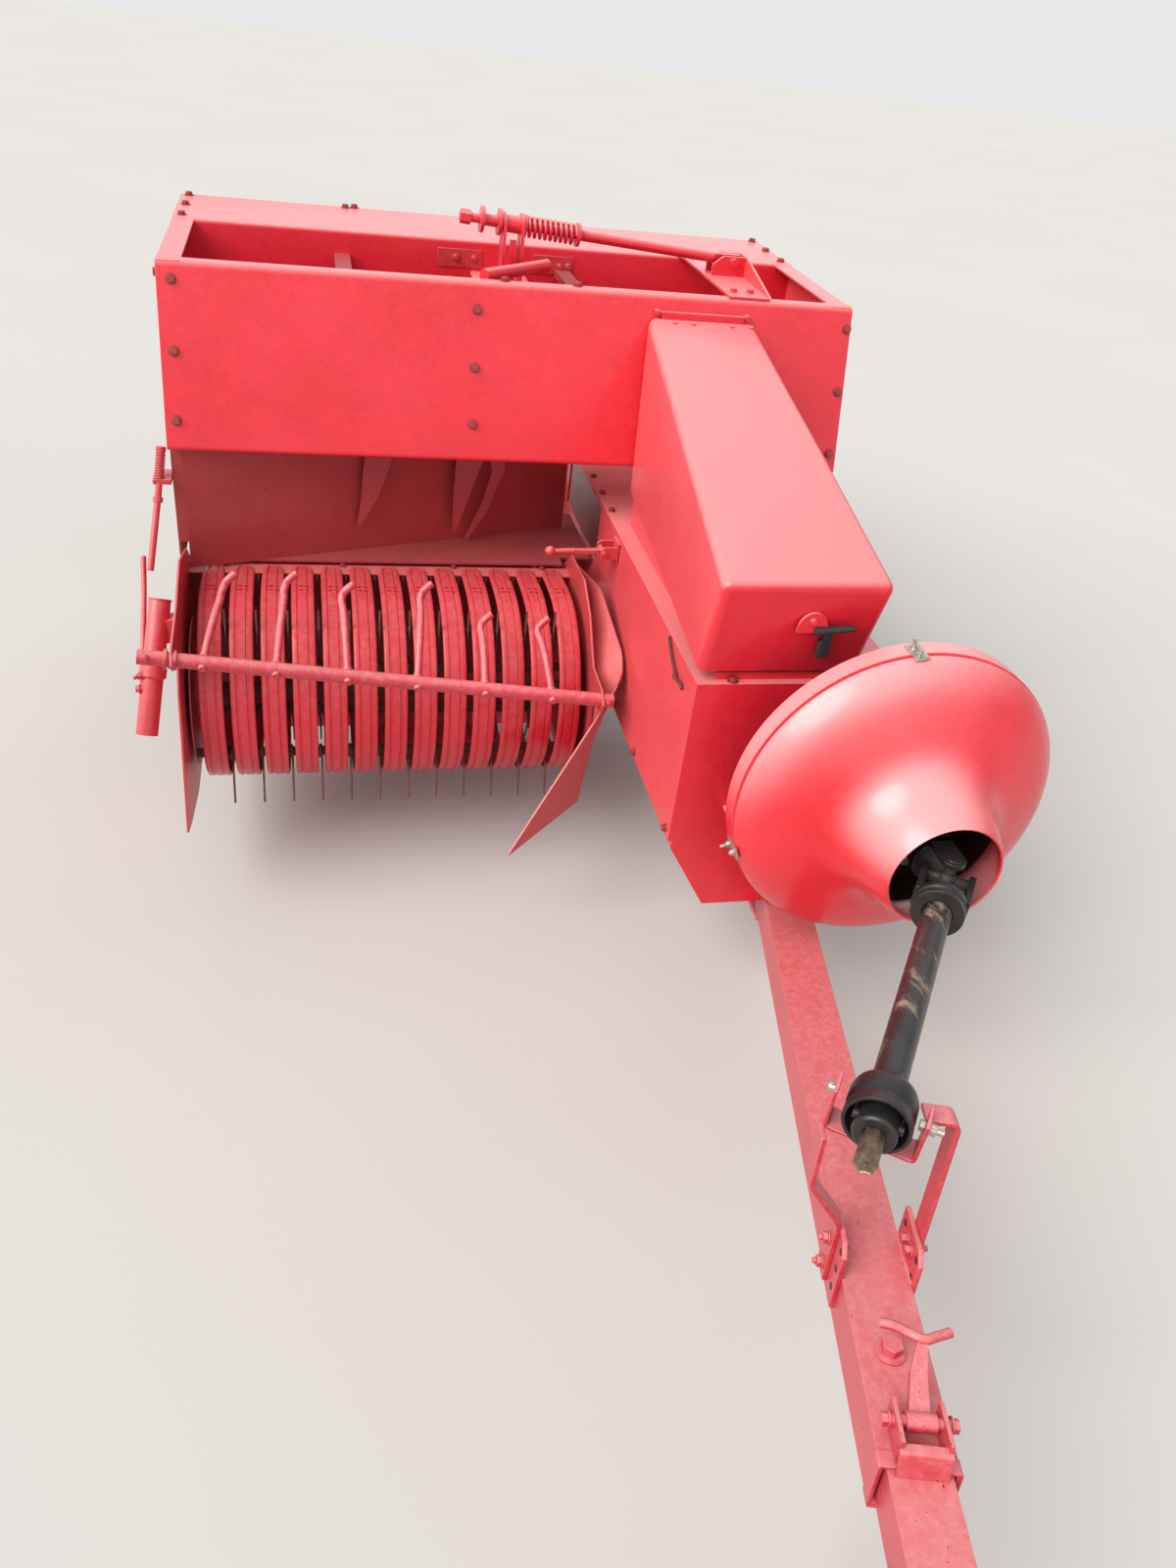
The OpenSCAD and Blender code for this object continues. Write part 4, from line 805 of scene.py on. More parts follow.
class BALER_OT_pickup_sides(Operator):
    """Crop divider, wind guard and the fittings on the pick-up's end plates"""
    bl_idname = "baler.pickup_sides"
    bl_label = "Pick-up sides"

    def execute(self, context):
        # Divider: a sheet spanned between its outer and its inner edge
        bm = bmesh.new()
        outer = [(283, -92, 748), (322, -220, 742), (348, -410, 655), (342, -460, 620), (318, -485, 590),
                 (50, -655, 213)]
        inner = [(279, -100, 660), (279, -220, 640), (279, -380, 590), (279, -450, 520), (279, -470, 420),
                 (262, -480, 250)]
        outer, inner = bend_line(outer, 22, 4), bend_line(inner, 22, 4)
        for corners in zip(outer, outer[1:], inner[1:], inner):
            bm.faces.new([bm.verts.new(p) for p in corners])
        bmesh.ops.remove_doubles(bm, verts=bm.verts, dist=0.05)
        bmesh.ops.subdivide_edges(bm, edges=bm.edges, cuts=2, use_grid_fill=True)
        soften(bm, [v for v in bm.verts if not v.is_boundary], 0.5)
        add_wall(bm, list(bm.faces), 4, (0, -250, 500))
        add_block(bm, (275, -302, 606), (292, -298, 640))
        make_piece("crop_divider_sheet", bm, "pickup", "rubbed", bevel=0,
                   replaces="crop_divider", smooth=40)

        # Wind guard: rods through a tube that climbs towards the machine's right
        low, high = Vector((-786, -530, 718)), Vector((302, -530, 591))
        run = (high - low).normalized()
        bm = bmesh.new()
        add_bar(bm, low, high, 17, 36)
        paths = []
        for x, top in ((-650, (-607, -323, 790)), (-493, (-470, -319, 790)), (-334, (-341, -372, 790)),
                       (-175, (-156, -363, 790)), (-14.5, (-13, -392, 725)), (149, (128, -393, 715))):
            foot, top = low + run * (x - low.x) / run.x, Vector(top)
            knee = (foot + top) / 2 + Vector((0, -10, 12))
            slope = (knee - foot).normalized()
            # The rod passes through the tube and its end shows in front, in a ring of weld
            add_bar(bm, foot - Vector((0, 14, 4)), foot - Vector((0, 21, 6)), 10.5, 20, 8.5)
            paths.append([foot - slope * 10, foot.lerp(knee, 0.5) + Vector((0, -2, 2)), knee,
                          knee.lerp(top, 0.55), top, top + Vector((8, 3, 12)), top + Vector((26, 10, 25))])
            add_bar(bm, foot + slope * 14, foot + slope * 22, 12, 20, 9.5)
        for x in (-728, -708):
            ring = low + run * (x - low.x) / run.x
            add_bar(bm, ring - run * 4, ring + run * 4, 23, 28)
        add_bolts(bm, (high + Vector((-14, -16, 4)), low + Vector((20, -15, 6))), (0, -1, 0.1), 11, 5)
        make_piece("guard_tube", bm, "guard", "scraped", bevel=0.8, replaces="wind_guard")
        make_wires("guard_rods", paths, context.scene.baler_sizes.rod_radius, "guard",
                   "scraped")

        bm = bmesh.new()
        # Bearing housings of the reel, bolts on the end plates and the deck's front lip
        for x, side in ((-716, -1), (275, 1)):
            face = x + side * 3
            add_bar(bm, (x, REEL_Y, REEL_Z), (face, REEL_Y, REEL_Z), 52, 32)
            for k in range(4):
                place = round_x((face, REEL_Y, REEL_Z), 40, math.radians(45 + 90 * k))
                add_bolt(bm, place, (side, 0, 0), 12, 5, washer=0)
        add_bolts(bm, at_x(-716, (-60, 690), (60, 610), (-300, 240), (-60, 230), (-520, 690)), RIGHT, 15, 6)
        add_bolts(bm, product((-620, -330, -40, 200), (-30,), (703,)), UP, 13, 4)
        make_piece("pickup_fittings", bm, "pickup", "bolt", bevel=0.6)
        bm = bmesh.new()
        for y, z in ((-8, 672), (58, 562)):
            for x in range(-660, 260, 145):
                add_bar(bm, (x, y, z), (x, y - 4, z - 1), 6, 14)
        make_piece("pan_rivets", bm, "pickup", "rubbed", bevel=0.4)

        # Collar and locking bolt on the gauge wheel's socket
        bm = bmesh.new()
        top, foot = Vector((-757, -290, 735)), Vector((-800, -440, 455))
        down = (foot - top).normalized()
        add_turned(bm, [(20, 0), (31, 0), (31, 22), (26, 26), (20, 26)], top.lerp(foot, 0.5), down, 32)
        add_bolt(bm, top.lerp(foot, 0.53) - Vector((24, 18, 0)), (-0.8, -0.6, 0), 15, 8, stud=10)
        add_bar(bm, top - down * 2, top + down * 2, 27, 32)
        make_piece("socket_collar", bm, "pickup", "rubbed", bevel=0.8)
        return {"FINISHED"}


class BALER_OT_links(Operator):
    """Adjusting link with its spring, the hanger below it and the trip lever with its ball end"""
    bl_idname = "baler.links"
    bl_label = "Links and levers"

    def execute(self, context):
        bm = bmesh.new()
        head, eye, foot = Vector((-748, -62, 1015)), Vector((-762, -110, 900)), Vector((-785, -190, 760))
        add_bar(bm, head, eye, 8)
        add_bar(bm, eye + Vector((0, 2, 5)), foot, 8)
        add_bar(bm, head + Vector((0, 0, 4)), head.lerp(eye, 0.06), 11.5, 24)
        add_bar(bm, head.lerp(eye, 0.9), eye, 11.5, 24)
        add_block(bm, (-770, -100, 940), (-728, -30, 952))
        make_piece("adjusting_link", bm, "frame", "rubbed", bevel=0.8, replaces="lift_link")
        spring = coil(head.lerp(eye, 0.07), head.lerp(eye, 0.58), 9.8, 11)
        make_wires("adjusting_spring", [spring], 2.1, "frame", "rubbed", kind="POLY")

        hanger = at_x(-803, (-150, 778), (-205, 712), (-300, 640), (-399, 557))
        make_wires("hanger_rod", [hanger], 6.5, "pickup", "rubbed")
        bm = bmesh.new()
        add_bar(bm, (-808, -399, 557), (-775, -399, 557), 8)
        add_bolt(bm, (-808, -399, 557), RIGHT, 17, 8)
        make_piece("hanger_pin", bm, "pickup", "rubbed", bevel=0.6)

        # Trip lever: bracket, two cheeks on a pin, and the lever between them
        bm = bmesh.new()
        bracket = at_y(-227, (356, 867), (350, 867), (350, 812), (356, 812))
        add_fold(bm, bend_line(bracket, 2), (0, 54, 0), 3, (500, -200, 840))
        for y in (-225, -181):
            cheek = at_y(y, (352, 824), (316, 824), (307, 832), (307, 848), (316, 857), (352, 857))
            add_plate(bm, cheek, (0, 6, 0))
        add_bar(bm, (316, -231, 840), (316, -169, 840), 6.5)
        add_bolt(bm, (316, -225, 840), FRONT, 13, 6)
        add_plate(bm, [(326, -211, 834), (284, -208, 831), (240, -206, 831), (240, -194, 831),
                       (284, -192, 831), (326, -189, 834)], (0, 0, 10))
        add_bar(bm, (244, -200, 836), (188, -200, 834), 8, 20, 6.5)
        ball = Matrix.Translation((181.5, -200, 834))
        bmesh.ops.create_uvsphere(bm, u_segments=24, v_segments=14, radius=13.5, matrix=ball)
        add_bolt(bm, (350, -178, 820), RIGHT, 13, 5)
        make_piece("trip_lever_parts", bm, "frame", "rubbed", bevel=0.9, replaces="trip_lever")
        return {"FINISHED"}


# Drive line cover, cowl and plunger housing

class BALER_OT_cover(Operator):
    """Drive cover folded from one sheet, with its rivets, catch plate and rubber latch"""
    bl_idname = "baler.cover"
    bl_label = "Drive cover"

    def execute(self, context):
        bm = bmesh.new()
        # Corners in pairs: the top's rear and front edges, then the sides' rear and front lower ends
        verts = [bm.verts.new(p) for p in (
            (408, -10, 1374), (684, -10, 1374), (351, -990, 1131), (712, -990, 1131),
            (388, -121, 978), (690, -121, 978), (356, -926, 907), (706, -926, 907))]
        for ring in ((0, 1, 3, 2), (0, 2, 6, 4), (1, 5, 7, 3), (2, 3, 7, 6), (0, 4, 5, 1)):
            bm.faces.new([verts[i] for i in ring])
        folds = [e for e in bm.edges if not e.is_boundary]
        bmesh.ops.bevel(bm, geom=folds, offset=19, affect="EDGES", segments=5, profile=0.5, material=-1)
        add_wall(bm, list(bm.faces), 4, (540, -500, 1000))
        make_piece("drive_cover_sheet", bm, "cover", "red", bevel=0, replaces="drive_cover",
                   smooth=40)

        bm = bmesh.new()
        add_bar(bm, (424, -15, 1383), (668, -15, 1383), 4)
        add_block(bm, (440, -19, 1369), (652, -11, 1383))
        add_bolts(bm, ((470, -40, 1366.5), (516, -42, 1366), (616, -42, 1366), (666, -42, 1366)),
                  (0, -0.24, 0.97), 11, 4, washer=0)
        # Half round catch plate on the front face
        catch = [(558 + x, -972, 1034 + z) for x, z in half_round(32, 34)]
        add_plate(bm, catch + [(526, -969, 1022), (590, -969, 1022)], (0, -5, -1))
        add_bolt(bm, (556, -977, 1048), (0, -0.97, 0.2), 11, 5)
        make_piece("cover_fittings", bm, "cover", "red", bevel=0.8)

        bm = bmesh.new()
        add_bar(bm, (560, -974, 1026), (650, -982, 1036), 9.5, 20, 6.5)
        add_block(bm, (588, -974, 1000), (610, -964, 1030))
        add_block(bm, (583, -970, 960), (612, -956, 1002))
        soften(bm, list(bm.verts), 0.1)
        make_piece("rubber_hood_latch", bm, "cover", "rubber", bevel=2.5)
        return {"FINISHED"}


class BALER_OT_cowl(Operator):
    """Flywheel cowl: spun bell with its rim band and clips, and the bolts of the plunger housing"""
    bl_idname = "baler.cowl"
    bl_label = "Flywheel cowl"

    def execute(self, context):
        bell = [(355, 4), (355, 42), (349, 44), (349, 48.5), (352.5, 51), (350, 57), (344, 67), (334, 80),
                (320, 95), (300, 110), (278, 122), (254, 134), (232, 144), (212, 153), (194, 163),
                (180, 174), (168, 187), (158, 203), (150, 220), (143, 240), (137, 262), (129, 283),
                (121, 302), (119, 305)]
        bm = bmesh.new()
        add_wall(bm, add_turned(bm, bell, COWL, FRONT, 96), 4, (785, -1100, 680))
        # Rolled lip round the rear rim, and three brackets behind it
        add_wall(bm, add_turned(bm, [(325, 0), (355, 0)], COWL, FRONT, 96), 4, (785, -1200, 680))
        add_block(bm, (765, -1037, 1005), (805, -1000, 1011))
        add_block(bm, (470, -1043, 560), (500, -934, 566))
        add_block(bm, (745, -1043, 345), (805, -934, 353))
        make_piece("cowl_bell", bm, "frame", "cowl", bevel=0, replaces="flywheel_cowl",
                   smooth=35)

        bm = bmesh.new()
        # Zinc plated clips across the seam: at the top and low on both sides
        for degrees in (-7, 128, 250):
            turn = math.radians(degrees)
            out = Vector((math.sin(turn), 0, math.cos(turn)))
            aside = Vector((math.cos(turn), 0, -math.sin(turn)))
            rim = Vector(COWL) + out * 352
            ends = ((-1, 10), (1, 10), (1, 64), (-1, 64))
            add_plate(bm, [rim + aside * side * 15 - Vector((0, y, 0)) for side, y in ends], out * 6)
            for y, stud in ((23, 14), (52, 3)):
                add_bolt(bm, rim + out * 6 - Vector((0, y, 0)), out, 13, 6, stud=stud)
        make_piece("cowl_clips", bm, "frame", "zinc", bevel=0.5)

        bm = bmesh.new()
        # Ledge bolt, spring clip and bolts on the plunger housing
        right, left = BOX_SIDES
        add_bolt(bm, (436, -922, 880), UP, 17, 8)
        add_bolt(bm, (right, -806, 824), RIGHT, 14, 7)
        for y in (-905, -600, -380, -160):
            add_bolt(bm, (right, y, 486), RIGHT, 15, 7)
            add_bolt(bm, (left, y, 486), LEFT, 15, 7)
        add_bolts(bm, product((left,), (-880, -560, -240), (856,)), LEFT, 15, 7)
        make_piece("plunger_housing_bolts", bm, "frame", "bolt", bevel=0.7)
        clip = [(352, -724, 876), (350, -745, 866), (349, -800, 838), (349, -830, 828), (350, -846, 832),
                (351, -862, 826)]
        make_wires("wire_clip", [clip], 3.6, "frame", "reel_bar")
        return {"FINISHED"}


class BALER_OT_drive_line(Operator):
    """Input yoke, jointed shaft with its flaking tube, collar and splined stub"""
    bl_idname = "baler.drive_line"
    bl_label = "Drive line"

    def execute(self, context):
        bm = bmesh.new()
        add_bar(bm, (JOINT_X, -1262, JOINT_Z), (JOINT_X, -934, JOINT_Z), 25, 32)
        hub = [(25, -1170), (42, -1172), (42, -1238), (37, -1246), (37, -1262), (47, -1270), (47, -1288),
               (0.5, -1290)]
        add_turned(bm, hub, (JOINT_X, 0, JOINT_Z), REAR, 40)
        # Lower and upper ear, each with its web and the cap of its bearing
        for side, z, web_low, web_high in ((-1, 628, 628, 652), (1, 720, 708, 732)):
            ear = [(JOINT_X + x, JOINT_Y - y, z) for x, y in half_round(24, 24)]
            add_plate(bm, ear + [(761, -1276, z), (809, -1276, z)], (0, 0, 12))
            add_block(bm, (761, -1290, web_low), (809, -1270, web_high))
            cap = JOINT_Z + side * 52
            add_bar(bm, (JOINT_X, JOINT_Y, cap - side * 2), (JOINT_X, JOINT_Y, cap + side * 1.5), 15, 24)
        make_piece("input_yoke_forging", bm, "frame", "black", bevel=1.5,
                   replaces="input_yoke")

        bm = bmesh.new()
        for side, x in ((-1, -52), (1, 40)):
            ear = [(x, y, z) for z, y in half_round(22, 20)]
            add_plate(bm, ear + at_x(x, (-76, -22), (-76, 22)), (12, 0, 0))
            add_bar(bm, (side * 50, 0, 0), (side * 53.5, 0, 0), 15, 24)
        add_block(bm, (-52, -94, -22), (52, -74, 22))
        throat = [(30, -84), (50, -90), (50, -106), (44, -109), (44, -113), (50, -116), (50, -130),
                  (29, -131)]
        add_turned(bm, throat, (0, 0, 0), REAR, 44)
        # Collar: dished guard ring round a yoke that holds the stub
        collar = [(27, -640), (39, -645), (49, -654), (52, -664), (52, -690), (50, -695), (50, -704),
                  (52, -708), (52, -722), (46, -722), (44, -700), (38, -690), (24, -688)]
        add_turned(bm, collar, (0, 0, 0), REAR, 48)
        add_turned(bm, [(18, -690), (33, -692), (34, -740), (30, -744), (18, -744)], (0, 0, 0), REAR, 40)
        for side in (-1, 1):
            add_bar(bm, (side * 26, -722, 10), (side * 38, -722, 10), 8, 16)
        make_piece("shaft_yoke_and_collar", bm, "shaft", "black", ON_SHAFT,
                   replaces="drive_shaft")

        bm = bmesh.new()
        add_bar(bm, (0, -118, 0), (0, -660, 0), 27, 48)
        make_piece("shaft_tube", bm, "shaft", "tube", ON_SHAFT, bevel=0)

        bm = bmesh.new()
        # Six splines: a ring of points, alternately at the crown and the root
        ring = []
        for k in range(24):
            radius = 17.4 if k % 4 in (0, 1) else 14.6
            turn = math.tau * (k + 0.5) / 24
            ring.append((radius * math.cos(turn), -738, radius * math.sin(turn)))
        add_plate(bm, ring, (0, -66, 0))
        end = [f for f in bm.faces if all(abs(v.co.y + 804) < 0.01 for v in f.verts)]
        bmesh.ops.inset_region(bm, faces=end, thickness=2.5, depth=-2.0)
        add_bar(bm, (0, -803.6, 0), (0, -805, 0), 3.5, 16)
        make_piece("splined_stub", bm, "shaft", "stub", ON_SHAFT, bevel=0.5)
        return {"FINISHED"}


# Drawbar, stand and cradle

class BALER_OT_drawbar(Operator):
    """Drawbar fittings: shaft cradle with bent straps, big bolt, tongue lock, welds and pins"""
    bl_idname = "baler.drawbar"
    bl_label = "Drawbar fittings"

    def execute(self, context):
        bm = bmesh.new()
        for x in (55, -63):
            add_plate(bm, at_x(x, (-1158, 60), (-1158, -64), (-1268, -64), (-1268, 40), (-1250, 60)),
                      (8, 0, 0))
        right = at_y(-1228, (-63, -50), (-63, 70), (-121, 140), (-121, 236))
        add_fold(bm, bend_line(right, 9), (0, 40, 0), 8, (-200, -1208, 0))
        left = at_y(-1228, (63, -50), (63, 285), (16, 285))
        add_fold(bm, bend_line(left, 12), (0, 40, 0), 8, (200, -1208, 100))
        make_piece("cradle_straps", bm, "drawbar", "scraped", ON_DRAWBAR, bevel=1.4,
                   replaces="shaft_cradle")

        # The trough lies under the shaft, 680 along it and 66 below its axis
        reach, below = 680.0, 66
        level = math.cos(SHAFT_RISE) * reach
        place = (JOINT_X - math.sin(SHAFT_YAW) * level, JOINT_Y - math.cos(SHAFT_YAW) * level,
                 JOINT_Z - below + math.sin(SHAFT_RISE) * reach)
        on_trough = MACHINE @ Matrix.Translation(place) @ Matrix.Rotation(-SHAFT_YAW, 4, "Z")
        bm = bmesh.new()
        trough = at_y(-22, (-72, 84), (-72, 0), (72, 0), (72, 84))
        add_fold(bm, bend_line(trough, 12), (0, 44, 0), 6, (0, 0, 200))
        make_piece("cradle_trough", bm, "drawbar", "scraped", on_trough, bevel=1.4)
        bm = bmesh.new()
        add_bolt(bm, (72, 2, 60), LEFT, 18, 9, stud=12)
        add_bar(bm, (58, 2, 60), (66, 2, 60), 9, 6)
        add_bar(bm, (-82, 2, 66), (-72, 2, 66), 8)
        make_piece("cradle_bolts", bm, "drawbar", "zinc", on_trough, bevel=0.5)

        bm = bmesh.new()
        for side in (-1, 1):
            add_bolts(bm, at_x(side * 71, (-1208, 22), (-1208, -30)), (side, 0, 0), 17, 8, stud=6)
            add_bolts(bm, at_x(side * 55, (-1200, 30), (-1224, 30)), (-side, 0, 0), 17, 9)
        add_bar(bm, (-5, -1392, 0), (-5, -1392, 4), 23, 32)
        add_bolt(bm, (-5, -1392, 4), UP, 29, 14)
        make_piece("drawbar_bolts", bm, "drawbar", "scraped", ON_DRAWBAR, bevel=0.9)
        # Dark plugs in the lug holes: painted shade standing for the dark inside of the holes
        bm = bmesh.new()
        for side, y, z in product((-1, 1), (-1176, -1252), (40, 4, -34)):
            add_bar(bm, (side * 54.4, y, z), (side * 63.6, y, z), 6, 16)
        make_piece("lug_hole_painted_shade", bm, "drawbar", "rubber", ON_DRAWBAR, bevel=0)

        bm = bmesh.new()
        # Lock of the tongue: folded bracket with its front flap, cross pin and lever
        bracket = at_y(-1566, (-36, 46), (-36, 0.5), (36, 0.5), (36, 46))
        add_fold(bm, bend_line(bracket, 8), (0, 66, 0), 6, (0, -1500, 200))
        flap = at_x(-36, (-1558, 34), (-1572, 34), (-1580, -6))
        add_fold(bm, bend_line(flap, 5), (72, 0, 0), 5, (0, -1500, -200))
        add_bar(bm, (-46, -1524, 32), (46, -1524, 32), 8.5, 24)
        add_bolt(bm, (42, -1524, 32), LEFT, 17, 9)
        add_bolt(bm, (-42, -1524, 32), RIGHT, 17, 8)
        add_bar(bm, (-20, -1524, 32), (22, -1524, 32), 13, 24)
        add_plate(bm, [(-14, -1518, 25), (16, -1518, 25), (22, -1460, 38), (32, -1410, 50), (18, -1410, 50),
                       (-2, -1460, 38)], (0, 0, 11))
        make_piece("tongue_lock", bm, "drawbar", "scraped", ON_DRAWBAR,
                   replaces="drawbar_latch")
        lever = [(-24, -1376, 40), (-8, -1386, 48), (8, -1405, 58), (26, -1414, 60), (46, -1406, 59),
                 (68, -1396, 58)]
        make_wires("lock_lever", [lever], 7.4, "drawbar", "scraped", ON_DRAWBAR)

        bm = bmesh.new()
        # Collar at the mouth of the tube, and weld runs under the lugs
        collar = at_y(-1572, (0, 2), (57, 2), (57, -82), (-57, -82), (-57, 2), (0, 2))
        add_fold(bm, bend_line(collar, 5), (0, 24, 0), 3, (0, -1550, -40))
        for side in (-1, 1):
            add_bar(bm, (side * 55, -1160, -1), (side * 55, -1266, -1), 4.5, 12)
        make_piece("drawbar_welds", bm, "drawbar", "scraped", ON_DRAWBAR, bevel=0)

        bm = bmesh.new()
        # Swing pin's head with its cross pin, and the washers and gussets of the parking stand
        x, y, _ = SWING_PIN
        add_bar(bm, (x, y, 268.5), (x, y, 280), 24, 32)
        add_bar(bm, (x - 26, y, 296), (x + 26, y, 296), 3, 12)
        make_piece("swing_pin_washer", bm, "frame", "steel", bevel=0.8)
        x, y = STAND_X, STAND_Y
        bm = bmesh.new()
        add_bar(bm, (x + 24, y, STAND_Z), (x + 27, y, STAND_Z), 20, 28)
        add_bar(bm, (x - 26, y, STAND_Z), (x - 24, y, STAND_Z), 20, 28)
        make_piece("stand_pin_washers", bm, "drawbar", "zinc", bevel=0.5)
        bm = bmesh.new()
        for side in (-1, 1):
            add_plate(bm, at_y(y + 4, (x + side * 22, 12), (x + side * 68, 12), (x + side * 22, 58)),
                      (0, -8, 0))
            add_plate(bm, at_x(x - 4, (y + side * 22, 12), (y + side * 82, 12), (y + side * 22, 58)),
                      (8, 0, 0))
        make_piece("stand_gussets", bm, "stand", "rubbed", bevel=1.0)
        return {"FINISHED"}


# Wheels

class BALER_OT_wheels(Operator):
    """Wheels: pressed cream rims with their nuts, and ribbed tyres with shoulder blocks"""
    bl_idname = "baler.wheels"
    bl_label = "Wheels"

    def execute(self, context):
        lugs = context.scene.baler_sizes.tread_lugs
        # Profiles as (radius, along) pairs: the rim's and the tyre's far halves mirror the near ones
        rim = [(196, -66), (204, -64), (204, -58), (192, -50), (184, -32), (171, -24)]
        rim += [(radius, -along) for radius, along in reversed(rim)]
        dish = [(171, -4), (160, 4), (140, 9), (118, 12), (96, 14), (88, 18), (46, 18)]
        wall = [(197, -56), (206, -64), (226, -71), (252, -75), (278, -73), (300, -67), (313, -56),
                (317, -44), (318, -20)]
        wall += [(radius, -along) for radius, along in reversed(wall)] + [wall[0]]
        hole_radius, nut_radius = 128, 72
        for name, middle, out in WHEEL_PLACES:
            hub = Vector((middle, WHEEL_Y, WHEEL_Z))
            axis = Vector((out, 0, 0))
            body = name + "_wheel"
            bm = bmesh.new()
            bmesh.ops.solidify(bm, geom=add_turned(bm, rim, hub, axis, 72), thickness=3.5)
            bmesh.ops.solidify(bm, geom=add_turned(bm, dish, hub, axis, 72), thickness=5)
            for k in range(5):
                spot = round_x(hub + axis * 8.6, hole_radius, math.tau * (k + 0.5) / 5)
                add_turned(bm, [(17, 2.4), (20, 4.2), (24, 2.2)], spot, axis, 24)
            make_piece(name + "_pressed_rim", bm, body, "cream", bevel=0,
                       replaces=name + "_rim", smooth=40)
            bm = bmesh.new()
            for k in range(5):
                add_bolt(bm, round_x(hub + axis * 18.5, nut_radius, math.tau * k / 5), axis, 21, 11, stud=6)
                spot = round_x(hub + axis * 9, hole_radius, math.tau * (k + 0.5) / 5)
                add_bar(bm, spot, spot + axis * 2.2, 17, 24)
            add_bar(bm, hub - axis * 50, hub + axis * 44, 46, 40, 41)
            add_bar(bm, hub + axis * 44, hub + axis * 74, 30, 36, 26)
            make_piece(name + "_hub_and_nuts", bm, body, "cast", bevel=0.7)

            bm = bmesh.new()
            add_turned(bm, wall, hub, LEFT, 96)
            for rib, half in ((0, 9), (-23, 8), (23, 8)):
                low, high = rib - half, rib + half
                add_turned(bm, [(316, low), (324, low + 1.5), (324, high - 1.5), (316, high)], hub, LEFT, 96)
            for k, side in product(range(lugs), (-1, 1)):
                low, high = sorted((side * 37, side * 62))
                block = add_block(bm, (low, -9, 296), (high, 9, 322.5))
                bmesh.ops.translate(bm, vec=(0, 0, -9), verts=[v for v in block if abs(v.co.x) > 50])
                turn = Matrix.Translation(hub) @ Matrix.Rotation(math.tau * (k + 0.25 * side) / lugs, 4, "X")
                bmesh.ops.transform(bm, matrix=turn, verts=block)
            make_piece(name + "_moulded_tyre", bm, body, "tyre", bevel=0,
                       replaces=name + "_tyre", smooth=45)
            bm = bmesh.new()
            stem = hub + Vector((out * 12, 150, 52))
            neck = stem + Vector((out * 24, -8, -3))
            add_bar(bm, stem, neck, 4.5, 14)
            add_bar(bm, neck, stem + Vector((out * 34, -11.3, -4.2)), 5.5, 14)
            make_piece(name + "_valve", bm, body, "rubber", bevel=0.5)
        return {"FINISHED"}


# Rear half

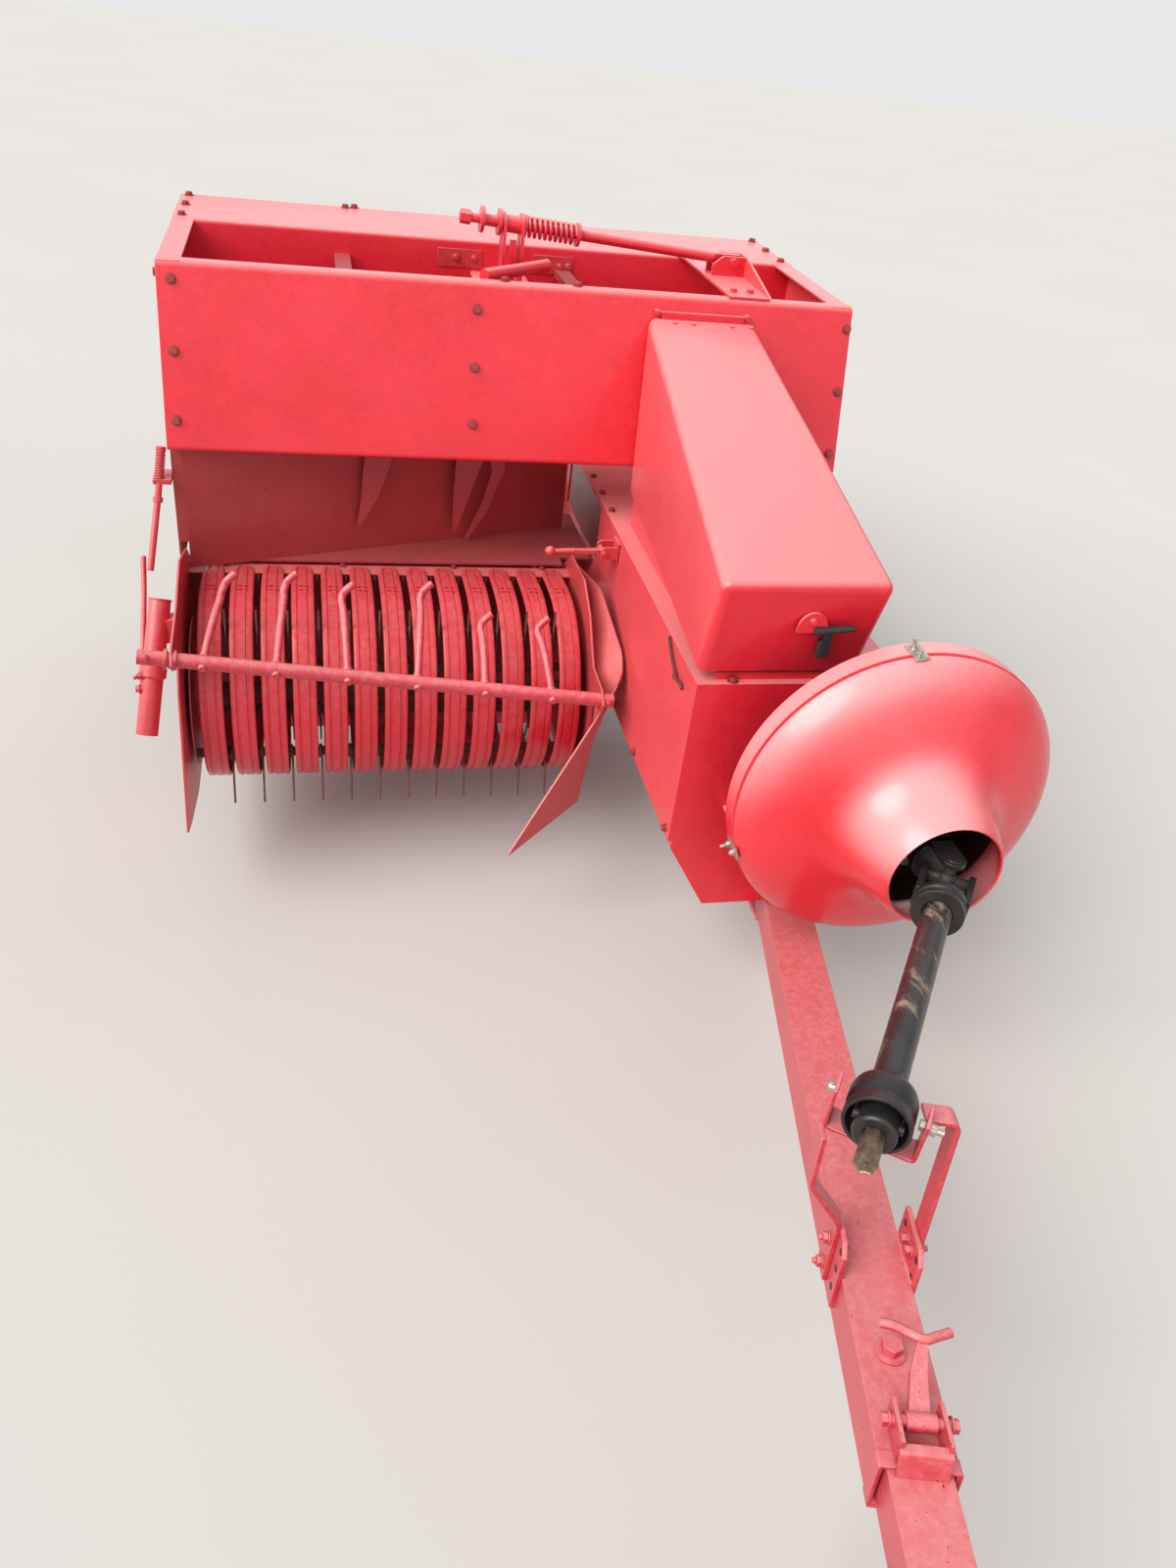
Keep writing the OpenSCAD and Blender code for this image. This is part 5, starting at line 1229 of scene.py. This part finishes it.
class BALER_OT_rear(Operator):
    """Rear half: chamber bolts, knotters, density springs, chute ribs and twine box fittings"""
    bl_idname = "baler.rear"
    bl_label = "Rear half"

    def execute(self, context):
        bm = bmesh.new()
        # The housing covers the chamber's right side as far back as Y 470
        for x, side, first in ((BOX_SIDES[0], -1, 470), (BOX_SIDES[1], 1, 60)):
            out = (side, 0, 0)
            add_bolts(bm, product((x,), range(first, 1940, 134), (488, 864)), out, 14, 6)
            add_bolts(bm, product((x + side * 10,), (580, 1260, 1880), (640, 730, 840)), out, 15, 7)
        for y in range(-40, 1520, 120):
            if not 1290 < y < 1570:
                add_bolts(bm, at_z(880, (372, y), (812, y)), UP, 14, 6)
        add_bolts(bm, product(range(400, 800, 75), (1570,), (902,)), UP, 14, 6)
        make_piece("chamber_bolts", bm, "frame", "bolt", bevel=0.7)

        bm = bmesh.new()
        # Knotters: twine disc with its notches, bill hook and wiper arm on each stack
        twine_disc = [(9, -12), (44, -12), (46, -8), (30, -5), (30, 5), (46, 8), (44, 12), (9, 12)]
        for x in KNOTTER_PLACES:
            disc = (x - 46, 1478, 1000)
            add_turned(bm, twine_disc, disc, (1, 0.2, 0), 40)
            for k in range(8):
                notch = round_x(disc, 40, math.tau * k / 8)
                add_block(bm, notch - Vector((14, 4, 4)), notch + Vector((14, 4, 4)))
            add_bar(bm, (x - 20, 1400, 960), (x - 20, 1400, 1040), 12, 24)
            add_bar(bm, (x - 20, 1400, 1030), (x - 20, 1400, 1042), 24, 24)
            add_bar(bm, (x - 20, 1400, 962), (x - 34, 1370, 948), 8, 20, 4)
            add_bar(bm, (x - 20, 1400, 956), (x - 38, 1366, 938), 6, 20, 3)
            add_plate(bm, at_x(x - 12, (1380, 940), (1420, 934), (1440, 1040), (1420, 1060)), (7, 0, 0))
        make_piece("knotter_parts", bm, "frame", "cast", bevel=0.8)
        bm = bmesh.new()
        teeth, crown, root = 30, 110, 101
        for x in KNOTTER_PLACES:
            middle = (x, KNOTTER_Y, KNOTTER_Z)
            ring = [round_x(middle, crown if k % 4 in (0, 1) else root, math.tau * k / (teeth * 4))
                    for k in range(teeth * 4)]
            add_plate(bm, ring, (24, 0, 0))
            # Raised rim and hub on both faces of the gear
            rim = [(82, 0), (82, -4), (94, -4), (95, 0), (95, 24), (94, 28), (82, 28), (82, 24), (82, 0)]
            add_turned(bm, rim, middle, LEFT, 56)
            add_turned(bm, [(18, -9), (38, -9), (41, 0), (41, 24), (38, 33), (18, 33), (18, -9)], middle,
                       LEFT, 40)
        add_bar(bm, (366, KNOTTER_Y, KNOTTER_Z), (818, KNOTTER_Y, KNOTTER_Z), 18, 32)
        drive = [(18, -8), (40, -8), (40, 0), (112, 0), (120, 4), (120, 18), (116, 22), (106, 10), (60, 8),
                 (44, 22), (18, 22)]
        add_turned(bm, drive, (828, KNOTTER_Y, KNOTTER_Z), LEFT, 56)
        make_piece("knotter_gears", bm, "knotter", "cast", bevel=0.6, replaces="knotter_shaft")

        bm = bmesh.new()
        # Density screws: the rod, the plates of its spring, its nuts, and the crank with its turned grip
        for x in SCREW_PLACES:
            for low, high, radius, sides in ((390, 1120, 10, 20), (940, 948, 29, 32), (1054, 1062, 29, 32),
                                             (1062, 1080, 17, 6), (384, 400, 17, 6)):
                add_bar(bm, (x, SCREW_Y, low), (x, SCREW_Y, high), radius, sides)
            add_bar(bm, (x, 1824, 1116), (x, 1938, 1116), 9)
            add_bar(bm, (x, 1932, 1110), (x, 1932, 1188), 11, 24, 9)
        for y, z in product((SCREW_Y - 14, SCREW_Y + 14), (898, 937, 400, 455)):
            add_block(bm, (296, y - 14, z), (888, y + 14, z + 3))
        make_piece("density_screws", bm, "frame", "steel", bevel=0.6)
        springs = [coil((x, SCREW_Y, 950), (x, SCREW_Y, 1053), 21, 8) for x in SCREW_PLACES]
        make_wires("density_springs", springs, 4.6, "frame", "steel", kind="POLY")

        bm = bmesh.new()
        # Ribs under the chute's floor and its hinge knuckles
        for y in (2110, 2290, 2466):
            add_block(bm, (368, y - 6, 478), (816, y + 6, 486))
        for x in (370, 480, 592, 704, 800):
            add_bar(bm, (x, 1972, 486), (x + 22, 1972, 486), 16, 28)
        make_piece("chute_ribs", bm, "chute", "red", bevel=1.0)

        bm = bmesh.new()
        # Twine box: bands round its foot and its mouth, bolts, eyes for the twine and the lid's catch
        for z in (734, 1080):
            add_block(bm, (-603, 832, z), (223, 835.5, z + 14))
            add_block(bm, (-603, 1164.5, z), (223, 1168, z + 14))
            add_block(bm, (-603.5, 832, z), (-600, 1168, z + 14))
        for x in (-460, -190, 80):
            add_bolt(bm, (x, 835, 741), FRONT, 12, 5)
            add_bolt(bm, (x, 1168, 741), REAR, 12, 5)
        make_piece("twine_box_bands", bm, "frame", "red", bevel=0.8)
        circle = [(13 * math.cos(math.tau * k / 16), 13 * math.sin(math.tau * k / 16)) for k in range(17)]
        rings = [[(middle + x, 828, 1010 + z) for x, z in circle] for middle in (-420, 40)]
        make_wires("twine_eyes", rings, 2.6, "frame", "steel", kind="POLY")
        bm = bmesh.new()
        add_bar(bm, (-205, 822, 1112), (-175, 822, 1112), 4, 16)
        add_block(bm, (-215, 825, 1098), (-165, 829, 1124))
        make_piece("lid_catch", bm, "twine_lid", "zinc", bevel=0.6)
        return {"FINISHED"}


class BALER_PT_dressing(Panel):
    """Lists the sizes and the pieces of the dressing"""
    bl_label = "Baler dressing"
    bl_idname = "BALER_PT_dressing"
    bl_space_type = "VIEW_3D"
    bl_region_type = "UI"
    bl_category = "Baler"

    def draw(self, context):
        for group in (context.scene.baler_sizes, context.scene.baler_stage):
            for key in group.__annotations__:
                self.layout.prop(group, key)
        for kind in OPERATORS:
            self.layout.operator(kind.bl_idname)


OPERATORS = [BALER_OT_stage, BALER_OT_solids, BALER_OT_housing, BALER_OT_packer, BALER_OT_bands,
             BALER_OT_reel, BALER_OT_pickup_sides, BALER_OT_links, BALER_OT_cover, BALER_OT_cowl,
             BALER_OT_drive_line, BALER_OT_drawbar, BALER_OT_wheels, BALER_OT_rear]
CLASSES = [BalerSizes, BalerStage, *OPERATORS, BALER_PT_dressing]


def register():
    """Adds the dressing's sizes, operators and panel to Blender."""
    for kind in CLASSES:
        bpy.utils.register_class(kind)
    bpy.types.Scene.baler_sizes = PointerProperty(type=BalerSizes)
    bpy.types.Scene.baler_stage = PointerProperty(type=BalerStage)


def unregister():
    """Takes them out again."""
    del bpy.types.Scene.baler_sizes
    del bpy.types.Scene.baler_stage
    for kind in reversed(CLASSES):
        bpy.utils.unregister_class(kind)


def main():
    """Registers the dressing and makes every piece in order."""
    register()
    for kind in OPERATORS:
        area, action = kind.bl_idname.split(".")
        getattr(getattr(bpy.ops, area), action)()


if __name__ == "__main__":
    main()
